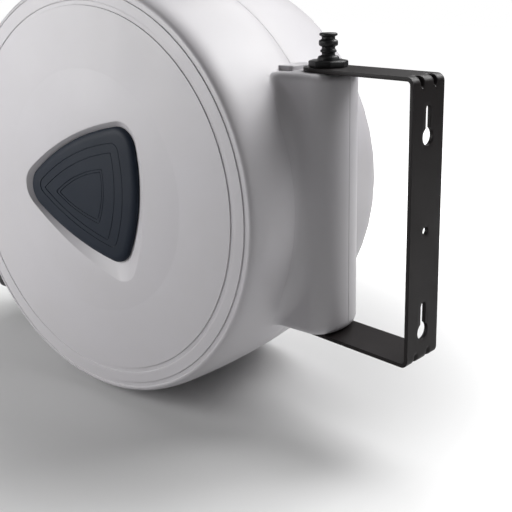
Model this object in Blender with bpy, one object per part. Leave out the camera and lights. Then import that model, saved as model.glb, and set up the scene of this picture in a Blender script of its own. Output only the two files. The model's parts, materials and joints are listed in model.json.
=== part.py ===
"""Retractable garden hose reel on a swivel wall bracket.

Metres, +Z up. The origin is the middle of the bracket's wall face, and +X points into the wall.
Everything that swivels hangs under the empty "reel", which stands on the pivot axis. The drum's
axis is the reel's own Y, and the hose leaves towards its -X.
"""
import math

import bmesh
import bpy
from mathutils import Vector

# Fits
FIT = 0.0003
SEAM = 0.0003
SEAM_LAP = 0.004
COLUMN_LAP = 0.0032
STOP_LAP = 0.0025
OUTLET_LAP = 0.0019
POST_LAP = 0.0014
CUT_PAST = 0.010

# Wall bracket: one bent steel strip
STRIP_WIDTH = 0.050
STRIP_THICKNESS = 0.004
BRACKET_HEIGHT = 0.279
PIVOT_REACH = 0.1192
BEND_RADIUS = 0.0075
GUSSET_LEG = 0.021
GUSSET_OFFSET = 0.0105
GUSSET_WIDTH = 0.009
PIVOT_HOLE_RADIUS = 0.0065
KEYHOLE_RADIUS = 0.00875
KEYHOLE_SLOT_WIDTH = 0.0084
KEYHOLE_LENGTH = 0.0385
UPPER_KEYHOLE_TOP = 0.113
LOWER_KEYHOLE_TOP = -0.0783
CENTRE_HOLE_RADIUS = 0.0045
CENTRE_HOLE_DROP = 0.0075

# Pivot pin
PIN_RADIUS = 0.006
PIN_POINT = 0.0012
PIN_SOCKET_DEPTH = 0.020
PIN_FLANGE_RADIUS = 0.0201
PIN_FLANGE_HEIGHT = 0.0066
PIN_FLANGE_CHAMFER = 0.001
PIN_KNOB_FOOT = 0.0033
PIN_KNOB_PROFILE = ((0.0113, 0.0066), (0.0104, 0.0100), (0.0067, 0.0114), (0.0067, 0.0138),
                    (0.0081, 0.0148), (0.0081, 0.0166), (0.0067, 0.0176), (0.0067, 0.0198),
                    (0.0094, 0.0210), (0.0095, 0.0256), (0.0067, 0.0272), (0.0067, 0.0300),
                    (0.0090, 0.0308), (0.0091, 0.0326), (0.0072, 0.0336))

# Swivel column
REEL_YAW = math.radians(6.52)
RIM_TO_PIVOT = 0.0007
COLUMN_FRONT = 0.0256
COLUMN_HALF_WIDTH = 0.0388
COLUMN_ROOT_HALF_WIDTH = 0.046
COLUMN_FLARE_LENGTH = 0.032
COLUMN_EDGE_RADIUS = 0.0055
STOP_DISTANCE = 0.030
STOP_HALF_WIDTH = 0.033
STOP_HEIGHT = 0.005
STOP_CORNER_RADIUS = 0.004
COLUMN_ROOT_DEPTH = 0.017
SLEEVE_WALL = 0.002
BUSH_FLANGE_RADIUS = 0.014
BUSH_FLANGE_THICKNESS = 0.003
BUSH_LENGTH = 0.020
COLUMN_TUBE_WALL = 0.0055

# Drum case
CASE_RADIUS = 0.2368
CASE_BULGE = 0.0048
CASE_HALF_WIDTH = 0.1141
CASE_EDGE_WIDTH = 0.0221
CASE_EDGE_DEPTH = 0.0130
CASE_WALL = 0.003
RING_GROOVE_INSETS = (0.0226, 0.0060)
RING_GROOVE_WIDTH = 0.0050
RING_GROOVE_DEPTH = 0.0014
RING_GROOVE_DRAFT = 0.0004

# Case screws
SCREW_INSET = 0.0248
SCREW_ANGLES = (28, 80, 140, 185, 262, 325)
SCREW_BOSS_RADIUS = 0.0062
SCREW_RADIUS = 0.002
SCREW_HEAD_RADIUS = 0.0038
SCREW_HEAD_HEIGHT = 0.003
SCREW_GRIP = 0.0109

# Badge: middles of its three round corners, lower, upper and towards the outlet
BADGE_CORNERS = ((0.0320, -0.0509), (0.0445, 0.0509), (-0.0803, -0.0084))
BADGE_CORNER_RADIUS = 0.0248
BADGE_SIDE_BULGES = (0.077, 0.061, 0.050)
BADGE_THICKNESS = 0.0055
BADGE_STEP = 0.0008
BADGE_BROW_RADIUS = 0.0158
BADGE_TERRACES = ((((0.0295, -0.0485), (0.0380, 0.0485), (-0.0770, -0.0050)), 0.010),
                  (((0.0233, -0.0494), (0.0343, 0.0456), (-0.0765, -0.0070)), 0.002),
                  (((0.0097, -0.0335), (0.0182, 0.0256), (-0.0565, -0.0088)), 0.002))
RECESS_CORNERS = ((0.0429, -0.0684), (0.0520, 0.0574), (-0.0862, -0.0069))
RECESS_CORNER_RADIUS = 0.0253
RECESS_DEPTH = 0.007

# Hose outlet
OUTLET_INSET = 0.1048
OUTLET_WIDTH = 0.108
OUTLET_CORNER_RADIUS = 0.012
OUTLET_ROOT_DEPTH = 0.050
SHROUD_STAND = 0.0089
BEZEL_DEPTH = 0.042
BEZEL_LIP = 0.007
BEZEL_MOUTH_RADIUS = 0.003
OUTLET_WALL = 0.0035
ROLLER_RADIUS = 0.009
ROLLER_GAP = 0.028
ROLLER_CLEARANCE = 0.001
ROLLER_PIN_RADIUS = 0.0025

# Carry handle
HANDLE_LENGTH = 0.130
HANDLE_WIDTH = 0.026
HANDLE_THICKNESS = 0.013
HANDLE_RISE = 0.040
HANDLE_FOOT_DEPTH = 0.0237
HANDLE_LEAN = 0.014
HANDLE_BEND_RADIUS = 0.018
HANDLE_EDGE = 0.0035

# Hose drum
DRUM_SIDE_ROOM = 0.0501
FLANGE_THICKNESS = 0.003
FLANGE_RIM_WIDTH = 0.006
FLANGE_RIM_STEP = 0.001
SPIGOT_LENGTH = 0.008
CORE_RADIUS = 0.095
CORE_WALL = 0.003
HUB_RADIUS = 0.017
HUB_BORE_RADIUS = 0.0125
HUB_LENGTH = 0.016
HUB_FLOOR = 0.002

# Hose
HOSE_DIAMETER = 0.016
HOSE_TURN_GAP = 0.0008
HOSE_NESTING = 0.0006
HOSE_SIDE_ROOM = 0.0015
HOSE_LAYERS = 4
HOSE_END_ANGLE = math.radians(264)

# Water inlet
STEM_RADIUS = 0.0095
STEM_BORE_RADIUS = 0.006
INLET_DEPTH = 0.0126
POCKET_RADIUS = 0.024
POCKET_LENGTH = 0.105
POCKET_DEPTH = 0.0256
INLET_DROP = 0.034
ELBOW_SEAT = 0.004
ELBOW_BEND = 0.0115
CONNECTOR_LENGTH = 0.040
CONNECTOR_COLLAR = ((0.0115, 0.011), (0.0115, -0.004), (0.0085, -0.006), (0.0085, -0.012),
                    (0.0105, -0.013), (0.0105, -0.018), (0.0082, -0.019))
CONNECTOR_RIM = ((0.0082, 0.008), (0.0092, 0.007), (0.0092, 0.001), (0.0085, 0.0))
CONNECTOR_SOCKET = 0.012
SEAL_DEPTH = 0.010
SEAL_THICKNESS = 0.002

# Spring motor and lock
ARBOR_RADIUS = 0.009
HOUSING_RADIUS = 0.0585
HOUSING_WALL = 0.003
HOUSING_DEPTH = 0.024
SPRING_TURNS = 5
SPRING_THICKNESS = 0.0012
RATCHET_TEETH = 12
RATCHET_RADIUS = 0.067
RATCHET_WIDTH = 0.009
PAWL_RADIUS = 0.088
PAWL_ANGLE = math.radians(113)
PAWL_LENGTH = 0.0323
PAWL_CLEARANCE = 0.003
PAWL_CATCH = 4.0
PAWL_THICKNESS = 0.006
PAWL_PIN_RADIUS = 0.003

# Level wind
GUIDE_INSET = 0.0318
GUIDE_BUSH_WALL = 0.0025
GUIDE_BUSH_LENGTH = 0.010
GUIDE_SOCKET_FLOOR = 0.004
SCREW_END_PLAY = 0.002
CROSS_SCREW_ANGLE = math.radians(205)
GUIDE_ROD_ANGLE = math.radians(235)
CROSS_SCREW_RADIUS = 0.0065
JOURNAL_RADIUS = 0.004
GUIDE_ROD_RADIUS = 0.004
GUIDE_BOSS_RADIUS = 0.010
GUIDE_POST_LENGTH = 0.0421
CARRIAGE_RADIUS = 0.0105
CARRIAGE_WIDTH = 0.030
CARRIAGE_EYE = 0.022
CARRIAGE_CLEARANCE = 0.0125
DRUM_PULLEY_RADIUS = 0.036
SCREW_PULLEY_RADIUS = 0.0144
PULLEY_LIP = 0.003
BELT_WIDTH = 0.006
BELT_THICKNESS = 0.002

# Facets
CASE_STEPS = 60
DRUM_STEPS = 30
ROUND_STEPS = 16
CORNER_STEPS = 4
HOSE_STEPS = 24

# Sizes that follow
DRUM_OFFSET = CASE_RADIUS + RIM_TO_PIVOT
CASE_SHOULDER_HALF_WIDTH = CASE_HALF_WIDTH - CASE_EDGE_WIDTH
DRUM_HALF_WIDTH = CASE_HALF_WIDTH - DRUM_SIDE_ROOM
INLET_OFFSET = CASE_HALF_WIDTH - INLET_DEPTH
POCKET_FLOOR = CASE_HALF_WIDTH - POCKET_DEPTH
GUIDE_SPAN = 2 * (CASE_HALF_WIDTH - GUIDE_POST_LENGTH)
SCREW_LENGTH = CASE_HALF_WIDTH + SCREW_GRIP
CASE_SHOULDER_RADIUS = CASE_RADIUS - CASE_BULGE
CASE_FACE_RADIUS = CASE_RADIUS - CASE_EDGE_DEPTH
SCREW_CIRCLE_RADIUS = CASE_RADIUS - SCREW_INSET
GUIDE_CIRCLE_RADIUS = CASE_RADIUS - GUIDE_INSET
GUIDE_CHORD_RADIUS = GUIDE_CIRCLE_RADIUS * math.cos((GUIDE_ROD_ANGLE - CROSS_SCREW_ANGLE) / 2)
FLANGE_RADIUS = GUIDE_CHORD_RADIUS - CARRIAGE_RADIUS - CARRIAGE_CLEARANCE
ARM_FACE = BRACKET_HEIGHT / 2 - STRIP_THICKNESS
COLUMN_TOP = ARM_FACE - FIT
COLUMN_ROOT = math.sqrt(CASE_RADIUS ** 2 - (COLUMN_TOP + STOP_HEIGHT) ** 2) - DRUM_OFFSET - COLUMN_ROOT_DEPTH
OUTLET_DROP = CASE_RADIUS - OUTLET_INSET
OUTLET_TOP = OUTLET_DROP - OUTLET_WIDTH / 2
OUTLET_BOTTOM = OUTLET_DROP + OUTLET_WIDTH / 2
SHROUD_REACH = DRUM_OFFSET + math.sqrt(CASE_RADIUS ** 2 - OUTLET_TOP ** 2) + SHROUD_STAND
BEZEL_REACH = SHROUD_REACH + BEZEL_DEPTH
OUTLET_ROOT = OUTLET_ROOT_DEPTH - math.sqrt(CASE_RADIUS ** 2 - OUTLET_BOTTOM ** 2)
HOSE_PITCH = HOSE_DIAMETER + HOSE_TURN_GAP
HOSE_TURNS = int((2 * (DRUM_HALF_WIDTH - HOSE_SIDE_ROOM) - HOSE_DIAMETER) / HOSE_PITCH)
HOSE_LAYER_STEP = HOSE_DIAMETER - HOSE_NESTING
SLEEVE_BORE_RADIUS = PIN_RADIUS + FIT
SLEEVE_RADIUS = SLEEVE_BORE_RADIUS + SLEEVE_WALL
COLUMN_BORE_RADIUS = SLEEVE_RADIUS + FIT
FACE_INSIDE = CASE_HALF_WIDTH - CASE_WALL
RECESS_FLOOR = CASE_HALF_WIDTH - RECESS_DEPTH
RECESS_INSIDE = RECESS_FLOOR - CASE_WALL
POCKET_INSIDE = POCKET_FLOOR - CASE_WALL
FLANGE_FACE = DRUM_HALF_WIDTH + FLANGE_THICKNESS
CARVE_RADIUS = CASE_RADIUS - 0.8 * CASE_WALL
PULLEY_MIDDLE = FLANGE_FACE + FIT + PULLEY_LIP + BELT_WIDTH / 2 + FIT
PULLEY_HALF_WIDTH = BELT_WIDTH / 2 + PULLEY_LIP
THROAT_HALF = ROLLER_GAP / 2 + 2 * ROLLER_RADIUS + ROLLER_CLEARANCE


def clear_scene():
    for old in list(bpy.data.objects):
        bpy.data.objects.remove(old, do_unlink=True)


def finish(name, colour, roughness, metallic=0.0):
    material = bpy.data.materials.new(name)
    material.use_nodes = True
    shader = material.node_tree.nodes["Principled BSDF"]
    shader.inputs["Base Color"].default_value = (*colour, 1.0)
    shader.inputs["Roughness"].default_value = roughness
    shader.inputs["Metallic"].default_value = metallic
    return material


def empty(name, location=(0, 0, 0), parent=None, turn=0.0):
    frame = bpy.data.objects.new(name, None)
    bpy.context.collection.objects.link(frame)
    frame.location = location
    frame.rotation_euler = (0, 0, turn)
    frame.parent = parent
    return frame


def piece(name, shape, material, parent=None, location=(0, 0, 0)):
    """One part of the reel, from a finished bmesh."""
    mesh = bpy.data.meshes.new(name)
    shape.to_mesh(mesh)
    shape.free()
    mesh.shade_smooth()
    mesh.set_sharp_from_angle(angle=math.radians(25))
    mesh.materials.append(material)
    part = bpy.data.objects.new(name, mesh)
    bpy.context.collection.objects.link(part)
    part.parent = parent
    part.location = location
    return part


def tool(name, shape, parent=None, location=(0, 0, 0)):
    """A guide shape that only a Boolean uses."""
    guide = piece(name, shape, GUIDE, parent, location)
    guide.hide_render = True
    guide.display_type = "WIRE"
    return guide


def boolean(part, guide, operation):
    step = part.modifiers.new(guide.name, "BOOLEAN")
    step.object = guide
    step.operation = operation
    step.solver = "EXACT"


def cut(part, guide):
    boolean(part, guide, "DIFFERENCE")


def join(part, guide):
    boolean(part, guide, "UNION")


def arc(centre, radius, start, end, steps):
    """Points along an arc, angles in degrees."""
    angles = [math.radians(start + (end - start) * i / steps) for i in range(steps + 1)]
    return [(centre[0] + radius * math.cos(a), centre[1] + radius * math.sin(a)) for a in angles]


def circle(centre, radius, steps):
    return arc(centre, radius, 0, 360, steps)[:-1]


def capsule(first, last, radius, steps):
    """Outline of a bar with round ends."""
    heading = math.degrees(math.atan2(last[1] - first[1], last[0] - first[0]))
    far = arc(last, radius, heading - 90, heading + 90, steps)
    return far + arc(first, radius, heading + 90, heading + 270, steps)


def rounded_square(half, radius, centre=(0, 0)):
    outline = []
    for quarter in range(4):
        turn = math.radians(90 * quarter)
        x, y = half - radius, half - radius
        corner = (x * math.cos(turn) - y * math.sin(turn), x * math.sin(turn) + y * math.cos(turn))
        corner = (centre[0] + corner[0], centre[1] + corner[1])
        outline += arc(corner, radius, 90 * quarter, 90 * quarter + 90, CORNER_STEPS)
    return outline


def at(axis, along, a, b):
    """A point of a flat outline, placed at a height along an axis."""
    if axis == "X":
        return Vector((along, a, b))
    if axis == "Y":
        return Vector((a, along, b))
    return Vector((a, b, along))


def loop_at(outline, axis, along):
    return [at(axis, along, a, b) for a, b in outline]


def skin(loops, closed=False):
    """Faces between loops that have the same number of points; the end loops are capped."""
    shape = bmesh.new()
    rows = [[shape.verts.new(point) for point in loop] for loop in loops]
    pairs = list(zip(rows, rows[1:]))
    if closed:
        pairs.append((rows[-1], rows[0]))
    for low, high in pairs:
        for i in range(len(low)):
            shape.faces.new((low[i - 1], low[i], high[i], high[i - 1]))
    if not closed:
        shape.faces.new(rows[0])
        shape.faces.new(rows[-1])
    bmesh.ops.recalc_face_normals(shape, faces=shape.faces)
    return shape


def prism(outline, axis, low, high):
    return skin([loop_at(outline, axis, low), loop_at(outline, axis, high)])


def turned(profile, axis, steps=ROUND_STEPS):
    """Profile of (radius, height) points spun round an axis; it is closed unless it ends on it."""
    shape = bmesh.new()
    across = {"X": (0, 1, 0), "Y": (1, 0, 0), "Z": (1, 0, 0)}[axis]
    along = {"X": Vector((1, 0, 0)), "Y": Vector((0, 1, 0)), "Z": Vector((0, 0, 1))}[axis]
    points = [shape.verts.new(Vector(across) * radius + along * height) for radius, height in profile]
    edges = [shape.edges.new(pair) for pair in zip(points, points[1:])]
    if profile[0][0] > 0:
        edges.append(shape.edges.new((points[-1], points[0])))
    bmesh.ops.spin(shape, geom=points + edges, cent=(0, 0, 0), axis=along, angle=math.tau,
                   steps=steps, use_merge=True)
    bmesh.ops.remove_doubles(shape, verts=shape.verts, dist=1e-6)
    bmesh.ops.recalc_face_normals(shape, faces=shape.faces)
    return shape


def rod(radius, low, high, axis, steps=ROUND_STEPS):
    return turned([(0, low), (radius, low), (radius, high), (0, high)], axis, steps)


def washer(inner, outer, low, high, axis, steps=ROUND_STEPS):
    return turned([(inner, low), (outer, low), (outer, high), (inner, high)], axis, steps)


def moved(shape, offset):
    bmesh.ops.translate(shape, vec=offset, verts=shape.verts)
    return shape


def together(shapes):
    """Several separate shapes as one mesh, for a Boolean."""
    whole = bmesh.new()
    for shape in shapes:
        mesh = bpy.data.meshes.new("part")
        shape.to_mesh(mesh)
        shape.free()
        whole.from_mesh(mesh)
        bpy.data.meshes.remove(mesh)
    return whole


def pipe(path, radius, bore, binormal, sides=ROUND_STEPS):
    """Tube with an open bore along a flat path."""
    across = Vector(binormal)
    rings = []
    for size, points in ((radius, list(path)), (bore, list(reversed(path)))):
        for i, point in enumerate(points):
            ahead = points[min(i + 1, len(points) - 1)]
            behind = points[max(i - 1, 0)]
            tangent = (ahead - behind).normalized() * (1 if size == radius else -1)
            normal = across.cross(tangent)
            rings.append([point + size * (math.cos(a) * across + math.sin(a) * normal)
                          for a in (math.tau * k / sides for k in range(sides))])
    return skin(rings, closed=True)


def polar(radius, angle):
    return (radius * math.cos(angle), radius * math.sin(angle))


# Wall bracket

def strip_path(depth, dented):
    """Half of the bracket's side view, from the arm's end to mid height, at a depth in the strip."""
    top = BRACKET_HEIGHT / 2 - depth
    wall = -depth
    turn = BEND_RADIUS - depth
    leg = GUSSET_LEG
    bend = arc((-BEND_RADIUS, BRACKET_HEIGHT / 2 - BEND_RADIUS), turn, 90, 0, 3)
    if dented:
        slip = depth * (math.sqrt(2) - 1)
        first = Vector((-leg - slip * 0.5, top))
        last = Vector((wall, BRACKET_HEIGHT / 2 - leg - slip * 0.5))
        bend = [tuple(first.lerp(last, (i + 0.5) / 4)) for i in range(4)]
    return [(-leg, top)] + bend + [(wall, BRACKET_HEIGHT / 2 - leg)]


def strip_columns():
    half = STRIP_WIDTH / 2
    spread = GUSSET_WIDTH / 2
    inner = [GUSSET_OFFSET - spread, GUSSET_OFFSET, GUSSET_OFFSET + spread]
    outer = [half * math.sin(math.radians(a)) for a in (50, 62, 75, 90)]
    right = inner + outer
    return [-y for y in reversed(right)] + right


def strip_loop(y):
    """The strip's outline at one place across its width."""
    half = STRIP_WIDTH / 2
    dented = abs(abs(y) - GUSSET_OFFSET) < GUSSET_WIDTH / 4
    tip = -PIVOT_REACH - math.sqrt(max(half ** 2 - y ** 2, 0.0))
    upper = []
    for depth in (0.0, STRIP_THICKNESS):
        path = [(tip, BRACKET_HEIGHT / 2 - depth), (-PIVOT_REACH + half, BRACKET_HEIGHT / 2 - depth)]
        path += strip_path(depth, dented)
        path += [(x, -z) for x, z in reversed(path)]
        upper.append(path)
    return [Vector((x, y, z)) for x, z in upper[0] + list(reversed(upper[1]))]


def keyhole(top):
    """A round hole with a narrower slot above it."""
    slot = KEYHOLE_SLOT_WIDTH / 2
    centre = top - KEYHOLE_LENGTH + KEYHOLE_RADIUS
    meet = math.degrees(math.asin(slot / KEYHOLE_RADIUS))
    outline = arc((0, top - slot), slot, 0, 180, 6)
    return outline + arc((0, centre), KEYHOLE_RADIUS, 90 + meet, 450 - meet, 14)


def make_bracket():
    bracket = piece("wall_bracket", skin([strip_loop(y) for y in strip_columns()]), BLACK_STEEL)
    depth = 2 * STRIP_THICKNESS
    holes = [prism(keyhole(UPPER_KEYHOLE_TOP), "X", -depth, STRIP_THICKNESS),
             prism(keyhole(LOWER_KEYHOLE_TOP), "X", -depth, STRIP_THICKNESS),
             prism(circle((0, -CENTRE_HOLE_DROP), CENTRE_HOLE_RADIUS, 16), "X", -depth, STRIP_THICKNESS)]
    cut(bracket, tool("wall_holes", together(holes)))
    pivot = rod(PIVOT_HOLE_RADIUS, -BRACKET_HEIGHT, BRACKET_HEIGHT, "Z")
    cut(bracket, tool("pivot_holes", pivot, location=(-PIVOT_REACH, 0, 0)))


# Pivot pin

def make_pin(pivot):
    arm = BRACKET_HEIGHT / 2
    shaft = turned([(0, -arm), (PIN_RADIUS - PIN_POINT, -arm), (PIN_RADIUS, -arm + PIN_POINT),
                    (PIN_RADIUS, arm + PIN_SOCKET_DEPTH), (0, arm + PIN_SOCKET_DEPTH)], "Z")
    piece("pivot_rod", shaft, STEEL, pivot)
    top = PIN_KNOB_PROFILE[-1][1]
    foot = [(0, PIN_KNOB_FOOT), (PIN_KNOB_PROFILE[0][0], PIN_KNOB_FOOT)]
    knob = foot + list(PIN_KNOB_PROFILE) + [(0, top)]
    chamfer = PIN_FLANGE_CHAMFER
    flange = turned([(0, FIT), (PIN_FLANGE_RADIUS, FIT), (PIN_FLANGE_RADIUS, PIN_FLANGE_HEIGHT - chamfer),
                     (PIN_FLANGE_RADIUS - chamfer, PIN_FLANGE_HEIGHT), (0, PIN_FLANGE_HEIGHT)], "Z", 8)
    cap = piece("pin_head", flange, BLACK_PLASTIC, pivot, (0, 0, arm))
    join(cap, tool("pin_turning", turned(knob, "Z"), pivot, (0, 0, arm)))
    socket = rod(PIN_RADIUS + FIT, -FIT, PIN_SOCKET_DEPTH + FIT, "Z")
    cut(cap, tool("pin_socket", socket, pivot, (0, 0, arm)))


# Column bearings

def make_column_bearings(reel):
    barrel = COLUMN_TOP - BUSH_LENGTH - FIT
    sleeve = washer(SLEEVE_BORE_RADIUS, SLEEVE_RADIUS, -barrel, barrel, "Z")
    piece("pivot_sleeve", sleeve, STEEL, reel)
    for name, side in (("bush_top", 1), ("bush_bottom", -1)):
        profile = [(SLEEVE_BORE_RADIUS, COLUMN_TOP), (BUSH_FLANGE_RADIUS, COLUMN_TOP),
                   (BUSH_FLANGE_RADIUS, COLUMN_TOP - BUSH_FLANGE_THICKNESS),
                   (SLEEVE_RADIUS, COLUMN_TOP - BUSH_FLANGE_THICKNESS),
                   (SLEEVE_RADIUS, COLUMN_TOP - BUSH_LENGTH), (SLEEVE_BORE_RADIUS, COLUMN_TOP - BUSH_LENGTH)]
        piece(name, turned([(r, side * z) for r, z in profile], "Z"), WHITE_PLASTIC, reel)


# Case halves

def shoulder_radius(y):
    return CASE_RADIUS - CASE_BULGE * (y / CASE_SHOULDER_HALF_WIDTH) ** 2


def edge_point(t):
    """Point on the curve from the barrel round to the flat side, t from 0 to 1."""
    slope = 2 * CASE_BULGE / CASE_SHOULDER_HALF_WIDTH
    reach = CASE_HALF_WIDTH - CASE_SHOULDER_HALF_WIDTH
    start = Vector((CASE_SHOULDER_RADIUS, CASE_SHOULDER_HALF_WIDTH))
    corner = Vector((CASE_SHOULDER_RADIUS - slope * reach, CASE_HALF_WIDTH))
    end = Vector((CASE_FACE_RADIUS, CASE_HALF_WIDTH))
    return start.lerp(corner, t).lerp(corner.lerp(end, t), t)


def bowl_profile():
    """Half of the case from the centre of its flat side, out past the seam and back inside."""
    outside = [(0, CASE_HALF_WIDTH)]
    floor = CASE_HALF_WIDTH - RING_GROOVE_DEPTH
    for inset in RING_GROOVE_INSETS:
        inner = CASE_FACE_RADIUS - inset
        outer = inner + RING_GROOVE_WIDTH
        outside += [(inner, CASE_HALF_WIDTH), (inner + RING_GROOVE_DRAFT, floor),
                    (outer - RING_GROOVE_DRAFT, floor), (outer, CASE_HALF_WIDTH)]
    outside += [tuple(edge_point(t)) for t in (1, 0.66, 0.33, 0)]
    outside += [(shoulder_radius(CASE_SHOULDER_HALF_WIDTH / 2), CASE_SHOULDER_HALF_WIDTH / 2)]
    outside += [(CASE_RADIUS, -SEAM_LAP)]
    inside = [(CASE_RADIUS - CASE_WALL, -SEAM_LAP),
              (CASE_SHOULDER_RADIUS - CASE_WALL, CASE_SHOULDER_HALF_WIDTH),
              (CASE_FACE_RADIUS - CASE_WALL, FACE_INSIDE), (0, FACE_INSIDE)]
    return outside + inside


def mirrored(shape, side):
    """The same shape on the left (-1) or the right (1) of the seam."""
    if side < 0:
        bmesh.ops.scale(shape, vec=(1, -1, 1), verts=shape.verts)
        bmesh.ops.recalc_face_normals(shape, faces=shape.faces)
    return shape


def column_half():
    """Half of the swivel column, from its round front to its root inside the drum."""
    front = [(COLUMN_FRONT * math.cos(a), COLUMN_HALF_WIDTH * math.sin(a))
             for a in (math.radians(90 * i / 8) for i in range(9))]
    front = [(COLUMN_FRONT, -COLUMN_LAP)] + front
    flare = (COLUMN_ROOT_HALF_WIDTH - COLUMN_HALF_WIDTH) / COLUMN_FLARE_LENGTH ** 2
    flank = [(x, COLUMN_HALF_WIDTH + flare * x ** 2) for x in (COLUMN_ROOT * k / 4 for k in (1, 2, 3, 4))]
    outline = front + flank + [(flank[-1][0], -COLUMN_LAP)]
    shape = prism(outline, "Z", -COLUMN_TOP, COLUMN_TOP)
    rim = []
    for edge in shape.edges:
        low, high = edge.verts[0].co, edge.verts[1].co
        level = abs(low.z - high.z) < 1e-6
        seam = max(low.y, high.y) < -0.9 * COLUMN_LAP
        root = max(low.x, high.x) < flank[-1][0] + 1e-6
        if level and not seam and not root:
            rim.append(edge)
    bmesh.ops.bevel(shape, geom=rim, offset=COLUMN_EDGE_RADIUS, segments=2, profile=0.5, affect="EDGES")
    return shape


def stop_half():
    """Half of the raised step that meets the arm's round end when the reel is turned too far."""
    corner = STOP_CORNER_RADIUS
    root = COLUMN_ROOT + 0.2 * COLUMN_ROOT_DEPTH
    outline = [(-STOP_DISTANCE, -STOP_LAP)]
    outline += arc((-STOP_DISTANCE - corner, STOP_HALF_WIDTH - corner), corner, 0, 90, 3)
    outline += [(root, STOP_HALF_WIDTH), (root, -STOP_LAP)]
    return prism(outline, "Z", COLUMN_TOP - 2 * COLUMN_EDGE_RADIUS, COLUMN_TOP + STOP_HEIGHT)


def pivot_tube():
    end = COLUMN_TOP - 1.5 * COLUMN_EDGE_RADIUS
    return rod(COLUMN_BORE_RADIUS + COLUMN_TUBE_WALL, -end, end, "Z")


def pivot_bore():
    flange = BUSH_FLANGE_RADIUS + FIT
    seat = COLUMN_TOP - BUSH_FLANGE_THICKNESS - FIT
    half = [(flange, 2 * COLUMN_TOP), (flange, seat), (COLUMN_BORE_RADIUS, seat)]
    profile = [(0, 2 * COLUMN_TOP)] + half
    profile += [(COLUMN_BORE_RADIUS, -seat), (flange, -seat)]
    profile += [(flange, -2 * COLUMN_TOP), (0, -2 * COLUMN_TOP)]
    return turned(profile, "Z")


def square_half(half, radius):
    """Right half of the outlet's rounded square outline, in the Y and Z directions."""
    outline = arc((half - radius, half - radius), radius, 0, 90, CORNER_STEPS)
    outline += [(-OUTLET_LAP, half), (-OUTLET_LAP, -half)]
    outline += arc((half - radius, radius - half), radius, -90, 0, CORNER_STEPS)
    return [(y, z - OUTLET_DROP) for y, z in outline]


def shroud_half():
    return prism(square_half(OUTLET_WIDTH / 2, OUTLET_CORNER_RADIUS), "X",
                 DRUM_OFFSET - SHROUD_REACH, OUTLET_ROOT)


def past_seam():
    """Everything on the far side of the seam, which each half is trimmed to."""
    reach = 2 * CASE_RADIUS
    outline = [(-reach, -reach), (reach, -reach), (reach, reach), (-reach, reach)]
    return prism(outline, "Y", -CASE_HALF_WIDTH, SEAM / 2)


def outlet_passage():
    outline = rounded_square(OUTLET_WIDTH / 2 - OUTLET_WALL, OUTLET_CORNER_RADIUS - OUTLET_WALL)
    outline = [(y, z - OUTLET_DROP) for y, z in outline]
    return prism(outline, "X", DRUM_OFFSET - BEZEL_REACH, OUTLET_ROOT)


def three_sided(corners, radius, steps=5, corner_steps=4):
    """Rounded outline round three corner points, with bulging sides."""
    points = [Vector(corner) for corner in corners]
    sides = []
    for start, end, bulge in zip(points, points[1:] + points[:1], BADGE_SIDE_BULGES):
        chord = end - start
        half = chord.length / 2
        sagitta = bulge * chord.length
        swing = (half ** 2 + sagitta ** 2) / (2 * sagitta)
        outward = Vector((chord.y, -chord.x)).normalized()
        centre = (start + end) / 2 - outward * (swing - sagitta)
        first = math.degrees(math.atan2(start.y - centre.y, start.x - centre.x))
        last = first + math.degrees(2 * math.asin(half / swing))
        sides.append((centre, swing + radius, first, last, end))
    outline = []
    for (centre, reach, first, last, end), following in zip(sides, sides[1:] + sides[:1]):
        outline += arc(centre, reach, first, last, steps)
        turn = (following[2] - last) % 360
        outline += arc(end, radius, last, last + turn, corner_steps)[1:-1]
    return outline


def badge_recess():
    rim = three_sided(RECESS_CORNERS, RECESS_CORNER_RADIUS)
    floor = three_sided(BADGE_CORNERS, BADGE_CORNER_RADIUS + FIT)
    proud = 0.02
    outer = [Vector((b[0] + (a[0] - b[0]) * (1 + proud), b[1] + (a[1] - b[1]) * (1 + proud)))
             for a, b in zip(rim, floor)]
    return skin([[Vector((p.x, -CASE_HALF_WIDTH - proud * RECESS_DEPTH, p.y)) for p in outer],
                 loop_at(floor, "Y", -RECESS_FLOOR)])


def badge_dish():
    """The bulge inside the flat side that keeps the wall under the recess."""
    wide = three_sided(RECESS_CORNERS, RECESS_CORNER_RADIUS + CASE_WALL)
    return prism(wide, "Y", -RECESS_INSIDE, -FACE_INSIDE - CASE_WALL / 2)


def case_screw_places():
    return [polar(SCREW_CIRCLE_RADIUS, math.radians(angle)) for angle in SCREW_ANGLES]


def guide_places():
    return [polar(GUIDE_CIRCLE_RADIUS, angle) for angle in (CROSS_SCREW_ANGLE, GUIDE_ROD_ANGLE)]


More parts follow.
